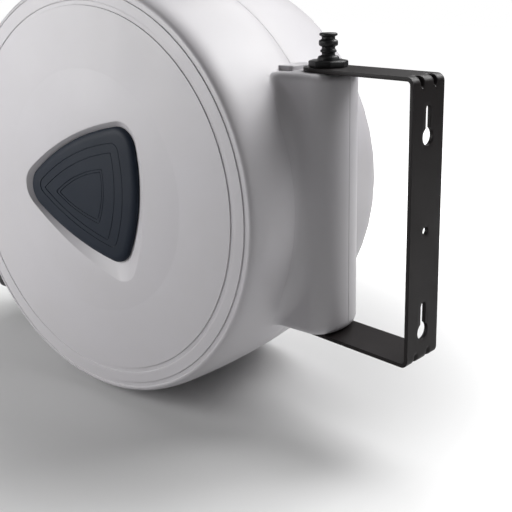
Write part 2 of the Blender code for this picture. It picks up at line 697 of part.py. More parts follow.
def case_half(name, side, reel):
    """One moulded half: bowl, column half, outlet half and the posts inside."""
    drum = (-DRUM_OFFSET, 0, 0)
    column = tool(name + "_column", mirrored(column_half(), side), reel)
    join(column, tool(name + "_stop", mirrored(stop_half(), side), reel))
    outlet = tool(name + "_outlet", mirrored(shroud_half(), side), reel, drum)
    inside = rod(CARVE_RADIUS, -2 * CASE_HALF_WIDTH, 2 * CASE_HALF_WIDTH, "Y", CASE_STEPS)
    carve = tool(name + "_carve", inside, reel, drum)
    cut(column, carve)
    cut(outlet, carve)
    bowl = mirrored(turned(bowl_profile(), "Y", CASE_STEPS), side)
    half = piece(name, bowl, GREY_CASE, reel, drum)
    join(half, column)
    join(half, outlet)
    join(half, tool(name + "_tube", pivot_tube(), reel))
    root = FACE_INSIDE + CASE_WALL / 2
    posts = [prism(circle(place, SCREW_BOSS_RADIUS, 8), "Y", -POST_LAP, root)
             for place in case_screw_places()]
    ends = (GUIDE_SPAN / 2, GUIDE_SPAN / 2)
    if side > 0:
        ends = (PULLEY_MIDDLE + PULLEY_HALF_WIDTH + FIT, GUIDE_SPAN / 2)
    posts += [prism(circle(place, GUIDE_BOSS_RADIUS, 10), "Y", end, root)
              for place, end in zip(guide_places(), ends)]
    join(half, tool(name + "_posts", mirrored(together(posts), side), reel, drum))
    cut(half, tool(name + "_seam", mirrored(past_seam(), side), reel, drum))
    cut(half, tool(name + "_bore", pivot_bore(), reel))
    cut(half, tool(name + "_passage", outlet_passage(), reel, drum))
    return half


def socket_cutters(side):
    """Blind holes for the level wind and clearance or pilot holes for the case screws."""
    screw, guide = guide_places()
    bush = JOURNAL_RADIUS + GUIDE_BUSH_WALL + FIT
    mouth = GUIDE_SPAN / 2 - CUT_PAST
    floor = FACE_INSIDE - GUIDE_SOCKET_FLOOR
    holes = [prism(circle(screw, bush, 12), "Y", mouth, floor),
             prism(circle(guide, GUIDE_ROD_RADIUS + FIT, 12), "Y", mouth, floor)]
    for place in case_screw_places():
        if side > 0:
            holes.append(screw_hole(place))
        else:
            depth = SCREW_LENGTH - CASE_HALF_WIDTH + 2 * SCREW_HEAD_HEIGHT + SCREW_RADIUS
            holes.append(prism(circle(place, SCREW_RADIUS + FIT, 8), "Y", -CUT_PAST, depth))
    return mirrored(together(holes), side)


def screw_hole(place):
    """Clearance hole with a counterbore for the screw's head."""
    face = CASE_HALF_WIDTH - 2 * SCREW_HEAD_HEIGHT
    beyond = CASE_HALF_WIDTH + CUT_PAST
    profile = [(0, -CUT_PAST), (SCREW_RADIUS + FIT, -CUT_PAST), (SCREW_RADIUS + FIT, face),
               (SCREW_HEAD_RADIUS + FIT, face), (SCREW_HEAD_RADIUS + FIT, beyond), (0, beyond)]
    return moved(turned(profile, "Y", 8), (place[0], 0, place[1]))


def pawl_place():
    return polar(PAWL_RADIUS, PAWL_ANGLE)


def pawl_plane():
    """Low and high |y| of the ratchet's teeth."""
    low = FLANGE_FACE + FIT + HOUSING_WALL
    return low, low + RATCHET_WIDTH


def arbor_post():
    """Where the spring's fixed arbor stands on the inside of the badge's dish."""
    return FLANGE_FACE + FIT + HOUSING_DEPTH + HOUSING_WALL + FIT


def make_case_left(reel):
    drum = (-DRUM_OFFSET, 0, 0)
    half = case_half("case_left", -1, reel)
    join(half, tool("badge_dish", badge_dish(), reel, drum))
    low, high = pawl_plane()
    posts = [prism(circle((0, 0), ARBOR_RADIUS + CASE_WALL, ROUND_STEPS), "Y", -arbor_post() - FIT * 2,
                   -RECESS_INSIDE - CASE_WALL / 2),
             prism(circle(pawl_place(), PAWL_PIN_RADIUS + CASE_WALL, 12), "Y", -high - FIT,
                   -FACE_INSIDE - CASE_WALL / 2)]
    join(half, tool("left_posts", together(posts), reel, drum))
    cut(half, tool("badge_recess", badge_recess(), reel, drum))
    cut(half, tool("left_sockets", socket_cutters(-1), reel, drum))
    holes = [prism(circle((0, 0), ARBOR_RADIUS + FIT, ROUND_STEPS), "Y", -RECESS_INSIDE + FIT,
                   -arbor_post() + CUT_PAST),
             prism(circle(pawl_place(), PAWL_PIN_RADIUS + FIT, 12), "Y", -FACE_INSIDE + CASE_WALL,
                   -high + CUT_PAST)]
    cut(half, tool("left_pin_holes", together(holes), reel, drum))


def make_case_right(reel):
    drum = (-DRUM_OFFSET, 0, 0)
    half = case_half("case_right", 1, reel)
    end = (0, -POCKET_LENGTH)
    walls = prism(capsule((0, 0), end, POCKET_RADIUS + CASE_WALL, 10), "Y", POCKET_INSIDE,
                  FACE_INSIDE + CASE_WALL / 2)
    join(half, tool("pocket_wall", walls, reel, drum))
    middle = POCKET_FLOOR - CASE_WALL / 2
    collar = rod(STEM_RADIUS + FIT + CASE_WALL, POCKET_INSIDE - CASE_WALL, middle, "Y")
    join(half, tool("stem_collar", collar, reel, drum))
    pocket = prism(capsule((0, 0), end, POCKET_RADIUS, 10), "Y", POCKET_FLOOR, 2 * CASE_HALF_WIDTH)
    cut(half, tool("inlet_pocket", pocket, reel, drum))
    stem = rod(STEM_RADIUS + FIT, DRUM_HALF_WIDTH, CASE_HALF_WIDTH, "Y")
    cut(half, tool("stem_hole", stem, reel, drum))
    cut(half, tool("right_sockets", socket_cutters(1), reel, drum))


def make_case_screws(reel):
    head = CASE_HALF_WIDTH - 2 * SCREW_HEAD_HEIGHT + FIT
    for number, (x, z) in enumerate(case_screw_places(), start=1):
        profile = [(0, head - SCREW_LENGTH), (SCREW_RADIUS, head - SCREW_LENGTH + SCREW_RADIUS),
                   (SCREW_RADIUS, head), (SCREW_HEAD_RADIUS, head),
                   (SCREW_HEAD_RADIUS, head + 0.7 * SCREW_HEAD_HEIGHT),
                   (0.6 * SCREW_HEAD_RADIUS, head + SCREW_HEAD_HEIGHT), (0, head + SCREW_HEAD_HEIGHT)]
        piece("case_screw_%d" % number, turned(profile, "Y", 8), STEEL, reel, (x - DRUM_OFFSET, 0, z))


def make_badge(reel):
    """Bare plate that steps inwards in three terraces."""
    back = -(RECESS_FLOOR + FIT)
    face = back - BADGE_THICKNESS
    edge = three_sided(BADGE_CORNERS, BADGE_CORNER_RADIUS)
    brow = three_sided(BADGE_CORNERS, BADGE_BROW_RADIUS)
    loops = [loop_at(edge, "Y", back)]
    for lean in (0, 45, 90):
        share = 1 - math.cos(math.radians(lean))
        height = back + (face - back) * (0.25 + 0.75 * math.sin(math.radians(lean)))
        ring = [(a[0] + (b[0] - a[0]) * share, a[1] + (b[1] - a[1]) * share) for a, b in zip(edge, brow)]
        loops.append(loop_at(ring, "Y", height))
    height = face
    for sizes in BADGE_TERRACES:
        outline = three_sided(*sizes)
        loops.append(loop_at(outline, "Y", height))
        height += BADGE_STEP
        loops.append(loop_at(outline, "Y", height))
    piece("badge_plate", skin(loops), BLUE_PLASTIC, reel, (-DRUM_OFFSET, 0, 0))


# Outlet

def make_bezel(reel):
    """Black frame of the outlet: a skirt outside and a square throat that carries the rollers."""
    half = OUTLET_WIDTH / 2
    throat = THROAT_HALF
    back = -SHROUD_REACH - FIT
    front = -BEZEL_REACH
    wall = OUTLET_WALL
    corner = OUTLET_CORNER_RADIUS
    lip = BEZEL_LIP
    mouth = BEZEL_MOUTH_RADIUS
    tail = back - mouth
    profile = [(half, back, corner), (half, front + lip, corner), (half - 0.7 * lip, front, corner - wall),
               (throat + mouth, front, 2 * mouth), (throat, front + mouth, mouth), (throat, tail, mouth),
               (throat + wall, tail, 2 * mouth), (throat + wall, front + wall + mouth, 2 * mouth),
               (half - wall, front + wall + lip, corner - wall), (half - wall, back, corner - wall)]
    loops = []
    for size, x, radius in profile:
        loops.append([Vector((x, y, z)) for y, z in rounded_square(size, radius)])
    bezel = piece("outlet_bezel", skin(loops, closed=True), BLACK_PLASTIC, reel, (0, 0, -OUTLET_DROP))
    hole = ROLLER_PIN_RADIUS + FIT
    reach = throat + wall + mouth
    offset = ROLLER_GAP / 2 + ROLLER_RADIUS
    for index, (axis, sign) in enumerate((("Y", 1), ("Y", -1), ("Z", 1), ("Z", -1))):
        depth = roller_depth(axis)
        place = (depth, 0, sign * offset) if axis == "Y" else (depth, sign * offset, 0)
        bore = moved(rod(hole, -reach, reach, axis, 12), place)
        cut(bezel, tool("pin_hole_%d" % index, bore, reel, (0, 0, -OUTLET_DROP)))


def roller_depth(axis):
    """Rollers with their axis across the outlet stand in front of the upright ones."""
    front = -BEZEL_REACH + BEZEL_MOUTH_RADIUS + ROLLER_RADIUS
    if axis == "Y":
        return front
    return front + 2 * (ROLLER_RADIUS + ROLLER_CLEARANCE)


def make_rollers(reel):
    offset = ROLLER_GAP / 2 + ROLLER_RADIUS
    length = THROAT_HALF - 2 * ROLLER_CLEARANCE
    wall = THROAT_HALF + OUTLET_WALL
    names = (("top", "Y", 1), ("bottom", "Y", -1), ("right", "Z", 1), ("left", "Z", -1))
    for name, axis, sign in names:
        depth = roller_depth(axis)
        place = (depth, 0, sign * offset) if axis == "Y" else (depth, sign * offset, 0)
        place = (place[0], place[1], place[2] - OUTLET_DROP)
        bore = ROLLER_PIN_RADIUS + FIT
        edge = ROLLER_CLEARANCE
        profile = [(bore, -length), (ROLLER_RADIUS - edge, -length), (ROLLER_RADIUS, -length + edge),
                   (ROLLER_RADIUS, length - edge), (ROLLER_RADIUS - edge, length), (bore, length)]
        piece("roller_" + name, turned(profile, axis, 12), BLACK_PLASTIC, reel, place)
        piece("roller_pin_" + name, rod(ROLLER_PIN_RADIUS, -wall, wall, axis, 8), STEEL, reel, place)


# Carry handle

def make_handle(reel):
    """Arched grip whose feet follow the drum's rim."""
    half = HANDLE_LENGTH / 2
    top = CASE_RADIUS + HANDLE_RISE
    foot = CASE_RADIUS - HANDLE_FOOT_DEPTH
    lean = HANDLE_LEAN
    bend = HANDLE_BEND_RADIUS
    inner_bend = bend - 0.6 * HANDLE_THICKNESS
    outer = [(half, foot)] + arc((half - lean - bend, top - bend), bend, 0, 90, 4)
    outer += [(-x, z) for x, z in reversed(outer)]
    below = top - HANDLE_THICKNESS
    inner_half = half - HANDLE_THICKNESS
    inner_centre = (inner_half - lean - inner_bend, below - inner_bend)
    inner = [(inner_half, foot)] + arc(inner_centre, inner_bend, 0, 90, 3)
    inner += [(-x, z) for x, z in reversed(inner)]
    shape = prism(outer + list(reversed(inner)), "Y", -HANDLE_WIDTH / 2, HANDLE_WIDTH / 2)
    long_edges = [edge for edge in shape.edges if abs(edge.verts[0].co.y - edge.verts[1].co.y) < 1e-6]
    bmesh.ops.bevel(shape, geom=long_edges, offset=HANDLE_EDGE, segments=2, profile=0.5, affect="EDGES")
    handle = piece("carry_handle", shape, BLACK_PLASTIC, reel, (-DRUM_OFFSET, 0, 0))
    rim = rod(CASE_RADIUS + FIT, -CASE_HALF_WIDTH, CASE_HALF_WIDTH, "Y", CASE_STEPS)
    cut(handle, tool("handle_seat", rim, reel, (-DRUM_OFFSET, 0, 0)))


# Hose drum

def make_drum(drum):
    length = DRUM_HALF_WIDTH - FIT
    core = washer(CORE_RADIUS - CORE_WALL, CORE_RADIUS, -length, length, "Y", DRUM_STEPS)
    barrel = piece("drum_core", core, WHITE_PLASTIC, drum)
    port = rod(STEM_RADIUS + FIT, 0, 2 * CORE_RADIUS, "Z", 12)
    cut(barrel, tool("hose_port", moved(port, (0, hose_port_height(), 0)), drum))
    spigot = CORE_RADIUS - CORE_WALL - FIT
    for name, side in (("flange_left", -1), ("flange_right", 1)):
        outer = FLANGE_FACE
        hub_end = DRUM_HALF_WIDTH - HUB_LENGTH
        spigot_end = DRUM_HALF_WIDTH - SPIGOT_LENGTH
        profile = [(HUB_BORE_RADIUS + FIT, hub_end), (HUB_RADIUS, hub_end), (HUB_RADIUS, DRUM_HALF_WIDTH),
                   (spigot - CORE_WALL, DRUM_HALF_WIDTH), (spigot - CORE_WALL, spigot_end),
                   (spigot, spigot_end), (spigot, DRUM_HALF_WIDTH),
                   (FLANGE_RADIUS - FLANGE_RIM_WIDTH, DRUM_HALF_WIDTH),
                   (FLANGE_RADIUS, DRUM_HALF_WIDTH + FLANGE_RIM_STEP), (FLANGE_RADIUS, outer)]
        if side > 0:
            groove = DRUM_PULLEY_RADIUS
            near = PULLEY_MIDDLE - BELT_WIDTH / 2 - FIT
            far = PULLEY_MIDDLE + BELT_WIDTH / 2 + FIT
            end = PULLEY_MIDDLE + PULLEY_HALF_WIDTH
            lip = groove + PULLEY_LIP
            profile += [(lip, outer), (lip, near), (groove, near), (groove, far), (lip, far), (lip, end)]
            outer = end
        profile.append((HUB_BORE_RADIUS + FIT, outer))
        piece(name, turned([(r, side * y) for r, y in profile], "Y", DRUM_STEPS), WHITE_PLASTIC, drum)


def hose_port_height():
    return DRUM_HALF_WIDTH - HUB_LENGTH - FIT - HUB_RADIUS


def make_hub_elbow(drum):
    """Turns the water from the hub out to the hose's inner end."""
    top = DRUM_HALF_WIDTH - HUB_LENGTH - FIT
    middle = hose_port_height()
    cup = piece("hub_elbow", rod(HUB_RADIUS, middle - STEM_RADIUS - HUB_FLOOR, top, "Y"), BRASS, drum)
    spout = rod(STEM_RADIUS, 0, CORE_RADIUS - CORE_WALL / 2, "Z", 12)
    join(cup, tool("hub_spout", moved(spout, (0, middle, 0)), drum))
    across = rod(STEM_BORE_RADIUS, HUB_BORE_RADIUS - HUB_FLOOR, CORE_RADIUS + CUT_PAST, "Z", 12)
    bore = [rod(HUB_BORE_RADIUS, middle - STEM_RADIUS + HUB_FLOOR / 2, top + CUT_PAST, "Y"),
            moved(across, (0, middle, 0))]
    for number, shape in enumerate(bore):
        cut(cup, tool("hub_bore_%d" % number, shape, drum))


def hose_radii():
    """Core of plain inner layers, and the centre line of the outer layer."""
    inner_top = CORE_RADIUS + FIT + HOSE_DIAMETER + (HOSE_LAYERS - 2) * HOSE_LAYER_STEP
    return inner_top, (inner_top + FIT + HOSE_DIAMETER / 2) / math.cos(math.pi / HOSE_STEPS)


def outer_layer_points():
    """Centre line of the outer layer: a helix with a straight run of one diameter at each end."""
    radius = hose_radii()[1]
    count = HOSE_TURNS * HOSE_STEPS
    start = HOSE_END_ANGLE - math.tau * HOSE_TURNS
    points = []
    for i in range(count + 1):
        share = i / count
        angle = start + math.tau * HOSE_TURNS * share
        points.append(Vector((radius * math.cos(angle), HOSE_PITCH * HOSE_TURNS * (share - 0.5),
                              radius * math.sin(angle))))
    first = (points[0] - points[1]).normalized()
    last = (points[-1] - points[-2]).normalized()
    return [points[0] + first * HOSE_DIAMETER] + points + [points[-1] + last * HOSE_DIAMETER]


def least_gap(points, diameter):
    """Least clear distance between turns of a wound tube, measured on its points."""
    skip = HOSE_STEPS // 2
    count = len(points)
    gaps = [(points[i] - points[j]).length for i in range(count) for j in range(i + skip, count)]
    return min(gaps) - diameter


def make_hose(drum):
    inner_top, radius = hose_radii()
    length = HOSE_PITCH * HOSE_TURNS / 2 + HOSE_DIAMETER / 2
    bank = washer(CORE_RADIUS + FIT, inner_top, -length, length, "Y", DRUM_STEPS)
    piece("hose_inner_layers", bank, HOSE_BLACK, drum)
    points = outer_layer_points()
    curve = bpy.data.curves.new("hose_outer_layer", "CURVE")
    curve.dimensions = "3D"
    curve.bevel_depth = HOSE_DIAMETER / 2
    curve.bevel_resolution = 1
    curve.use_fill_caps = True
    line = curve.splines.new("POLY")
    line.points.add(len(points) - 1)
    for spot, point in zip(line.points, points):
        spot.co = (*point, 1)
    curve.materials.append(HOSE_BLACK)
    hose = bpy.data.objects.new("hose_outer_layer", curve)
    bpy.context.collection.objects.link(hose)
    hose.parent = drum
    print("hose: least gap between turns %.2f mm" % (1000 * least_gap(points, HOSE_DIAMETER)))


# Water inlet

def make_inlet(reel):
    drum = (-DRUM_OFFSET, 0, 0)
    hub_end = DRUM_HALF_WIDTH - HUB_LENGTH
    bend = ELBOW_BEND
    path = [Vector((0, hub_end + ELBOW_SEAT, 0)), Vector((0, INLET_OFFSET - bend, 0))]
    for i in (1, 2, 3, 4):
        a = math.radians(22.5 * i)
        path.append(Vector((0, INLET_OFFSET - bend + bend * math.sin(a), -bend + bend * math.cos(a))))
    path.append(Vector((0, INLET_OFFSET, -INLET_DROP)))
    piece("inlet_elbow", pipe(path, STEM_RADIUS, STEM_BORE_RADIUS, (1, 0, 0)), BRASS, reel, drum)
    outer = STEM_RADIUS + FIT
    end = -CONNECTOR_LENGTH
    profile = [(outer, CONNECTOR_SOCKET)] + list(CONNECTOR_COLLAR)
    profile += [(radius, end + height) for radius, height in CONNECTOR_RIM]
    profile += [(STEM_BORE_RADIUS, end), (STEM_BORE_RADIUS, -FIT), (outer, -FIT)]
    piece("inlet_connector", turned(profile, "Z"), BLACK_PLASTIC, reel,
          (-DRUM_OFFSET, INLET_OFFSET, -INLET_DROP))
    middle = hub_end + SEAL_DEPTH
    near = middle - SEAL_THICKNESS / 2
    far = middle + SEAL_THICKNESS / 2
    piece("inlet_seal", washer(outer, HUB_BORE_RADIUS, near, far, "Y"), RUBBER, reel, drum)
    bush = washer(outer, HUB_BORE_RADIUS, far + FIT, PULLEY_MIDDLE + PULLEY_HALF_WIDTH, "Y")
    piece("drum_bush", bush, WHITE_PLASTIC, reel, drum)


# Spring motor and lock

def ratchet_outline():
    """Saw teeth; each has a long back and a steep face that the pawl catches."""
    outline = []
    root = HOUSING_RADIUS + 0.002
    caught = math.degrees(PAWL_ANGLE) - pawl_nose_offset() - PAWL_CATCH
    for tooth in range(RATCHET_TEETH):
        face = caught + tooth * 360 / RATCHET_TEETH
        for radius, angle in ((RATCHET_RADIUS, face - 5), (RATCHET_RADIUS, face - 2), (root, face)):
            outline.append(polar(radius, math.radians(angle)))
    return outline


def pawl_swing(radius):
    """Angle at the pawl's pivot between the drum's axis and a nose that stands at a radius."""
    cosine = (PAWL_RADIUS ** 2 + PAWL_LENGTH ** 2 - radius ** 2) / (2 * PAWL_RADIUS * PAWL_LENGTH)
    return math.acos(cosine)


def pawl_nose_offset():
    """Degrees round the drum from the pawl's pivot to its nose when it is engaged."""
    reach = HOUSING_RADIUS + 0.004
    return math.degrees(math.asin(PAWL_LENGTH * math.sin(pawl_swing(reach)) / reach))


def make_spring_motor(reel, drum):
    low = FLANGE_FACE + FIT
    high = low + HOUSING_DEPTH
    hole = ARBOR_RADIUS + 0.003
    wall = HOUSING_WALL
    cup_profile = [(hole, low), (HOUSING_RADIUS, low), (HOUSING_RADIUS, high), (HOUSING_RADIUS - wall, high),
                   (HOUSING_RADIUS - wall, low + wall), (hole, low + wall)]
    cup_shape = turned([(r, -y) for r, y in cup_profile], "Y", DRUM_STEPS)
    cup = piece("spring_housing", cup_shape, BLACK_PLASTIC, drum)
    teeth_low, teeth_high = pawl_plane()
    outline = ratchet_outline()
    inner = [polar(HOUSING_RADIUS - wall / 2, math.atan2(z, x)) for x, z in outline]
    loops = [loop_at(inner, "Y", -teeth_low), loop_at(outline, "Y", -teeth_low),
             loop_at(outline, "Y", -teeth_high), loop_at(inner, "Y", -teeth_high)]
    join(cup, tool("ratchet_teeth", skin(loops, closed=True), drum))
    cover = washer(hole, HOUSING_RADIUS, -high - FIT - wall, -high - FIT, "Y", DRUM_STEPS)
    piece("spring_cover", cover, BLACK_PLASTIC, drum)
    piece("main_spring", spring_band(low + wall + FIT, high - FIT), STEEL, drum)
    inner_end = DRUM_HALF_WIDTH - HUB_LENGTH
    arbor = rod(ARBOR_RADIUS, -RECESS_INSIDE + 2 * FIT, -inner_end, "Y")
    piece("spring_arbor", arbor, STEEL, reel, (-DRUM_OFFSET, 0, 0))
    bush = washer(ARBOR_RADIUS + FIT, HUB_BORE_RADIUS, -FLANGE_FACE, -inner_end, "Y")
    piece("arbor_bush", bush, WHITE_PLASTIC, drum)


def spring_band(low, high):
    """Flat spiral strip from the arbor out to the housing's wall."""
    inner = ARBOR_RADIUS + FIT
    outer = HOUSING_RADIUS - HOUSING_WALL - FIT - SPRING_THICKNESS
    per_turn = 14
    count = SPRING_TURNS * per_turn
    loops = []
    for i in range(count + 1):
        share = i / count
        radius = inner + (outer - inner) * share
        angle = math.tau * SPRING_TURNS * share
        near = polar(radius, angle)
        far = polar(radius + SPRING_THICKNESS, angle)
        loops.append([at("Y", -low, *near), at("Y", -low, *far),
                      at("Y", -high, *far), at("Y", -high, *near)])
    return skin(loops)


def make_pawl(reel):
    """Lock pawl, drawn at rest with its nose clear of the teeth."""
    x, z = pawl_place()
    low, high = pawl_plane()
    swing = pawl_swing(RATCHET_RADIUS + PAWL_CLEARANCE)
    heading = math.degrees(PAWL_ANGLE + math.pi + swing)
    boss = PAWL_PIN_RADIUS + 0.0035
    nose = PAWL_THICKNESS / 2
    outline = arc((0, 0), boss, heading + 75, heading + 285, 8)
    along = Vector(polar(1, math.radians(heading)))
    side = Vector((-along.y, along.x))
    tip = along * PAWL_LENGTH
    outline += [tuple(tip - along * 0.006 - side * nose), tuple(tip - side * nose * 0.4),
                tuple(tip + side * nose * 0.4), tuple(tip - along * 0.006 + side * nose)]
    place = (x - DRUM_OFFSET, 0, z)
    lever = piece("lock_pawl", prism(outline, "Y", -high + FIT, -low - FIT), BLACK_PLASTIC, reel, place)
    cut(lever, tool("pawl_bore", rod(PAWL_PIN_RADIUS + FIT, -2 * high, 0, "Y", 12), reel, place))
    pin = rod(PAWL_PIN_RADIUS, -FACE_INSIDE + CASE_WALL + FIT, -low, "Y", 12)
    piece("pawl_pin", pin, STEEL, reel, place)


# Level wind

def make_level_wind(reel):
    drum = Vector((-DRUM_OFFSET, 0, 0))
    screw, guide = guide_places()
    half = GUIDE_SPAN / 2
    screw_place = drum + Vector((screw[0], 0, screw[1]))
    guide_place = drum + Vector((guide[0], 0, guide[1]))
    body_end = PULLEY_MIDDLE - PULLEY_HALF_WIDTH - FIT
    far = FACE_INSIDE - GUIDE_SOCKET_FLOOR - SCREW_END_PLAY
    near = half + GUIDE_BUSH_LENGTH + SCREW_END_PLAY
    start = SCREW_END_PLAY - half
    stop = body_end - SCREW_END_PLAY
    profile = [(0, -near), (JOURNAL_RADIUS, -near), (JOURNAL_RADIUS, start), (CROSS_SCREW_RADIUS, start),
               (CROSS_SCREW_RADIUS, stop), (JOURNAL_RADIUS, stop), (JOURNAL_RADIUS, far), (0, far)]
    piece("cross_screw", turned(profile, "Y"), STEEL, reel, screw_place)
    groove = SCREW_PULLEY_RADIUS
    lip = groove + PULLEY_LIP
    belt = BELT_WIDTH / 2 + FIT
    bore = JOURNAL_RADIUS + FIT
    side = PULLEY_HALF_WIDTH
    pulley = [(bore, -side), (lip, -side), (lip, -belt), (groove, -belt), (groove, belt), (lip, belt),
              (lip, side), (bore, side)]
    pulley_place = screw_place + Vector((0, PULLEY_MIDDLE, 0))
    piece("screw_pulley", turned(pulley, "Y"), BLACK_PLASTIC, reel, pulley_place)
    bush = JOURNAL_RADIUS + GUIDE_BUSH_WALL
    left = washer(bore, bush, -half - GUIDE_BUSH_LENGTH, -half, "Y")
    piece("screw_bush_left", left, WHITE_PLASTIC, reel, screw_place)
    post = PULLEY_MIDDLE + PULLEY_HALF_WIDTH + FIT
    right = washer(bore, bush, post, post + GUIDE_BUSH_LENGTH, "Y")
    piece("screw_bush_right", right, WHITE_PLASTIC, reel, screw_place)
    reach = FACE_INSIDE - GUIDE_SOCKET_FLOOR - FIT
    piece("guide_rod", rod(GUIDE_ROD_RADIUS, -reach, reach, "Y"), STEEL, reel, guide_place)
    make_carriage(reel, (screw_place + guide_place) / 2, screw_place, guide_place)
    make_belt(reel, screw)


def make_carriage(reel, middle, screw_place, guide_place):
    """Runs along the screw and the rod and lays the hose through its eye."""
    ends = [(p.x - middle.x, p.z - middle.z) for p in (screw_place, guide_place)]
    body = prism(capsule(ends[0], ends[1], CARRIAGE_RADIUS, 8), "Y", -CARRIAGE_WIDTH / 2, CARRIAGE_WIDTH / 2)
    carriage = piece("guide_carriage", body, BLACK_PLASTIC, reel, middle)
    for number, (end, radius) in enumerate(zip(ends, (CROSS_SCREW_RADIUS, GUIDE_ROD_RADIUS))):
        bore = moved(rod(radius + FIT, -CARRIAGE_WIDTH, CARRIAGE_WIDTH, "Y", 16), (end[0], 0, end[1]))
        cut(carriage, tool("carriage_bore_%d" % number, bore, reel, middle))
    along = Vector(ends[1]) - Vector(ends[0])
    across = Vector((-along.y, along.x)).normalized()
    slot = along.length / 2 - 2.2 * CARRIAGE_RADIUS
    start = -along.normalized() * slot
    end = along.normalized() * slot
    wide = across * 2 * CARRIAGE_RADIUS
    outline = [tuple(start - wide), tuple(end - wide), tuple(end + wide), tuple(start + wide)]
    eye = prism(outline, "Y", -CARRIAGE_EYE / 2, CARRIAGE_EYE / 2)
    cut(carriage, tool("carriage_eye", eye, reel, middle))


def make_belt(reel, screw):
    """Loop round the drum's pulley and the screw's pulley."""
    distance = math.hypot(*screw)
    heading = math.degrees(math.atan2(screw[1], screw[0]))
    lean = math.degrees(math.asin((DRUM_PULLEY_RADIUS - SCREW_PULLEY_RADIUS) / distance))
    loops = []
    for extra, y in ((0, -1), (1, -1), (1, 1), (0, 1)):
        grow = FIT + extra * BELT_THICKNESS
        big = arc((0, 0), DRUM_PULLEY_RADIUS + grow, heading + 90 - lean, heading + 270 + lean, 14)
        small = arc(screw, SCREW_PULLEY_RADIUS + grow, heading - 90 + lean, heading + 90 - lean, 8)
        loops.append(loop_at(big + small, "Y", PULLEY_MIDDLE + y * BELT_WIDTH / 2))
    piece("drive_belt", skin(loops, closed=True), RUBBER, reel, (-DRUM_OFFSET, 0, 0))


clear_scene()
GREY_CASE = finish("case_grey", (0.70, 0.69, 0.70), 0.38)
BLUE_PLASTIC = finish("badge_blue", (0.022, 0.032, 0.050), 0.42)
BLACK_PLASTIC = finish("black_plastic", (0.012, 0.012, 0.013), 0.40)
WHITE_PLASTIC = finish("bearing_plastic", (0.62, 0.60, 0.56), 0.45)
BLACK_STEEL = finish("black_powder_coat", (0.016, 0.015, 0.017), 0.48)
STEEL = finish("zinc_steel", (0.62, 0.62, 0.63), 0.30, 1.0)
BRASS = finish("brass", (0.62, 0.44, 0.18), 0.32, 1.0)
RUBBER = finish("rubber", (0.015, 0.015, 0.015), 0.70)
HOSE_BLACK = finish("hose_skin", (0.020, 0.022, 0.024), 0.50)
GUIDE = finish("guide", (0.5, 0.5, 0.5), 0.5)

pivot_axis = empty("pivot_axis", (-PIVOT_REACH, 0, 0))
reel_frame = empty("reel", (-PIVOT_REACH, 0, 0), turn=REEL_YAW)
drum_axis = empty("drum_axis", (-DRUM_OFFSET, 0, 0), parent=reel_frame)

make_bracket()
make_pin(pivot_axis)
make_column_bearings(reel_frame)
make_case_left(reel_frame)
make_case_right(reel_frame)
make_case_screws(reel_frame)
make_badge(reel_frame)
make_bezel(reel_frame)
make_rollers(reel_frame)
make_handle(reel_frame)
make_drum(drum_axis)
make_hub_elbow(drum_axis)
make_hose(drum_axis)
make_inlet(reel_frame)
make_spring_motor(reel_frame, drum_axis)
make_pawl(reel_frame)
make_level_wind(reel_frame)
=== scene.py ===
# %% [markdown]
# # A garden hose reel on a swivel bracket
#
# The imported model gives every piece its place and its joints. This lesson dresses it: the pieces
# that show get finer meshes in the same places, and every surface gets a finish made of nodes.
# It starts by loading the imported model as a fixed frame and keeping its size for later.

# %% Load the frame
import json
import math

import bmesh
import bpy
from mathutils import Matrix, Vector


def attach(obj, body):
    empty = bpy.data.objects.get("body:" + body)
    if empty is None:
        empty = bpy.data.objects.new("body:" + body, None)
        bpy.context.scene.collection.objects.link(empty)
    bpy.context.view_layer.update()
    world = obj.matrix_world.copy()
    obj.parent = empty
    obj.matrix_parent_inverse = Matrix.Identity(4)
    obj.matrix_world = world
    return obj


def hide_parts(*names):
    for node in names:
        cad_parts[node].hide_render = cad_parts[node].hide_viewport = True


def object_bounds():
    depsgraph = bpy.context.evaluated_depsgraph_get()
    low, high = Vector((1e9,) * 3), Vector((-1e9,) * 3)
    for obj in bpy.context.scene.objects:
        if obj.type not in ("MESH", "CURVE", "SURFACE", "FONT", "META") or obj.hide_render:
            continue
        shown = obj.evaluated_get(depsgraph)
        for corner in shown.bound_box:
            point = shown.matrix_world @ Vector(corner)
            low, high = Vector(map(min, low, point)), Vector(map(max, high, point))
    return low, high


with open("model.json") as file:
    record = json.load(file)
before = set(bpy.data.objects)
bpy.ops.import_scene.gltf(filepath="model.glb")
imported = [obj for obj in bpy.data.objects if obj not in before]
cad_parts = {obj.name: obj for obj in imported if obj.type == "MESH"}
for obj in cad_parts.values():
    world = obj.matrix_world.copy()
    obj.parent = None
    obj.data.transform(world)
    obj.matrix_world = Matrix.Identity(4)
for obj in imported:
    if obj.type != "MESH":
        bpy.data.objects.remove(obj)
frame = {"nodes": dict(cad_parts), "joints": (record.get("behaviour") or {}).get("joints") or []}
CAD_BOX = [list(corner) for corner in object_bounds()]
print("frame box in metres:", CAD_BOX)

# %% [markdown]
# Two places steer everything else: the pivot, where the reel turns on its bracket, and the middle
# of the drum. Both are read from the joints, so that the pieces follow if the frame changes. The
# matrices turn a point written in the reel's or the drum's own directions into a place in the room.

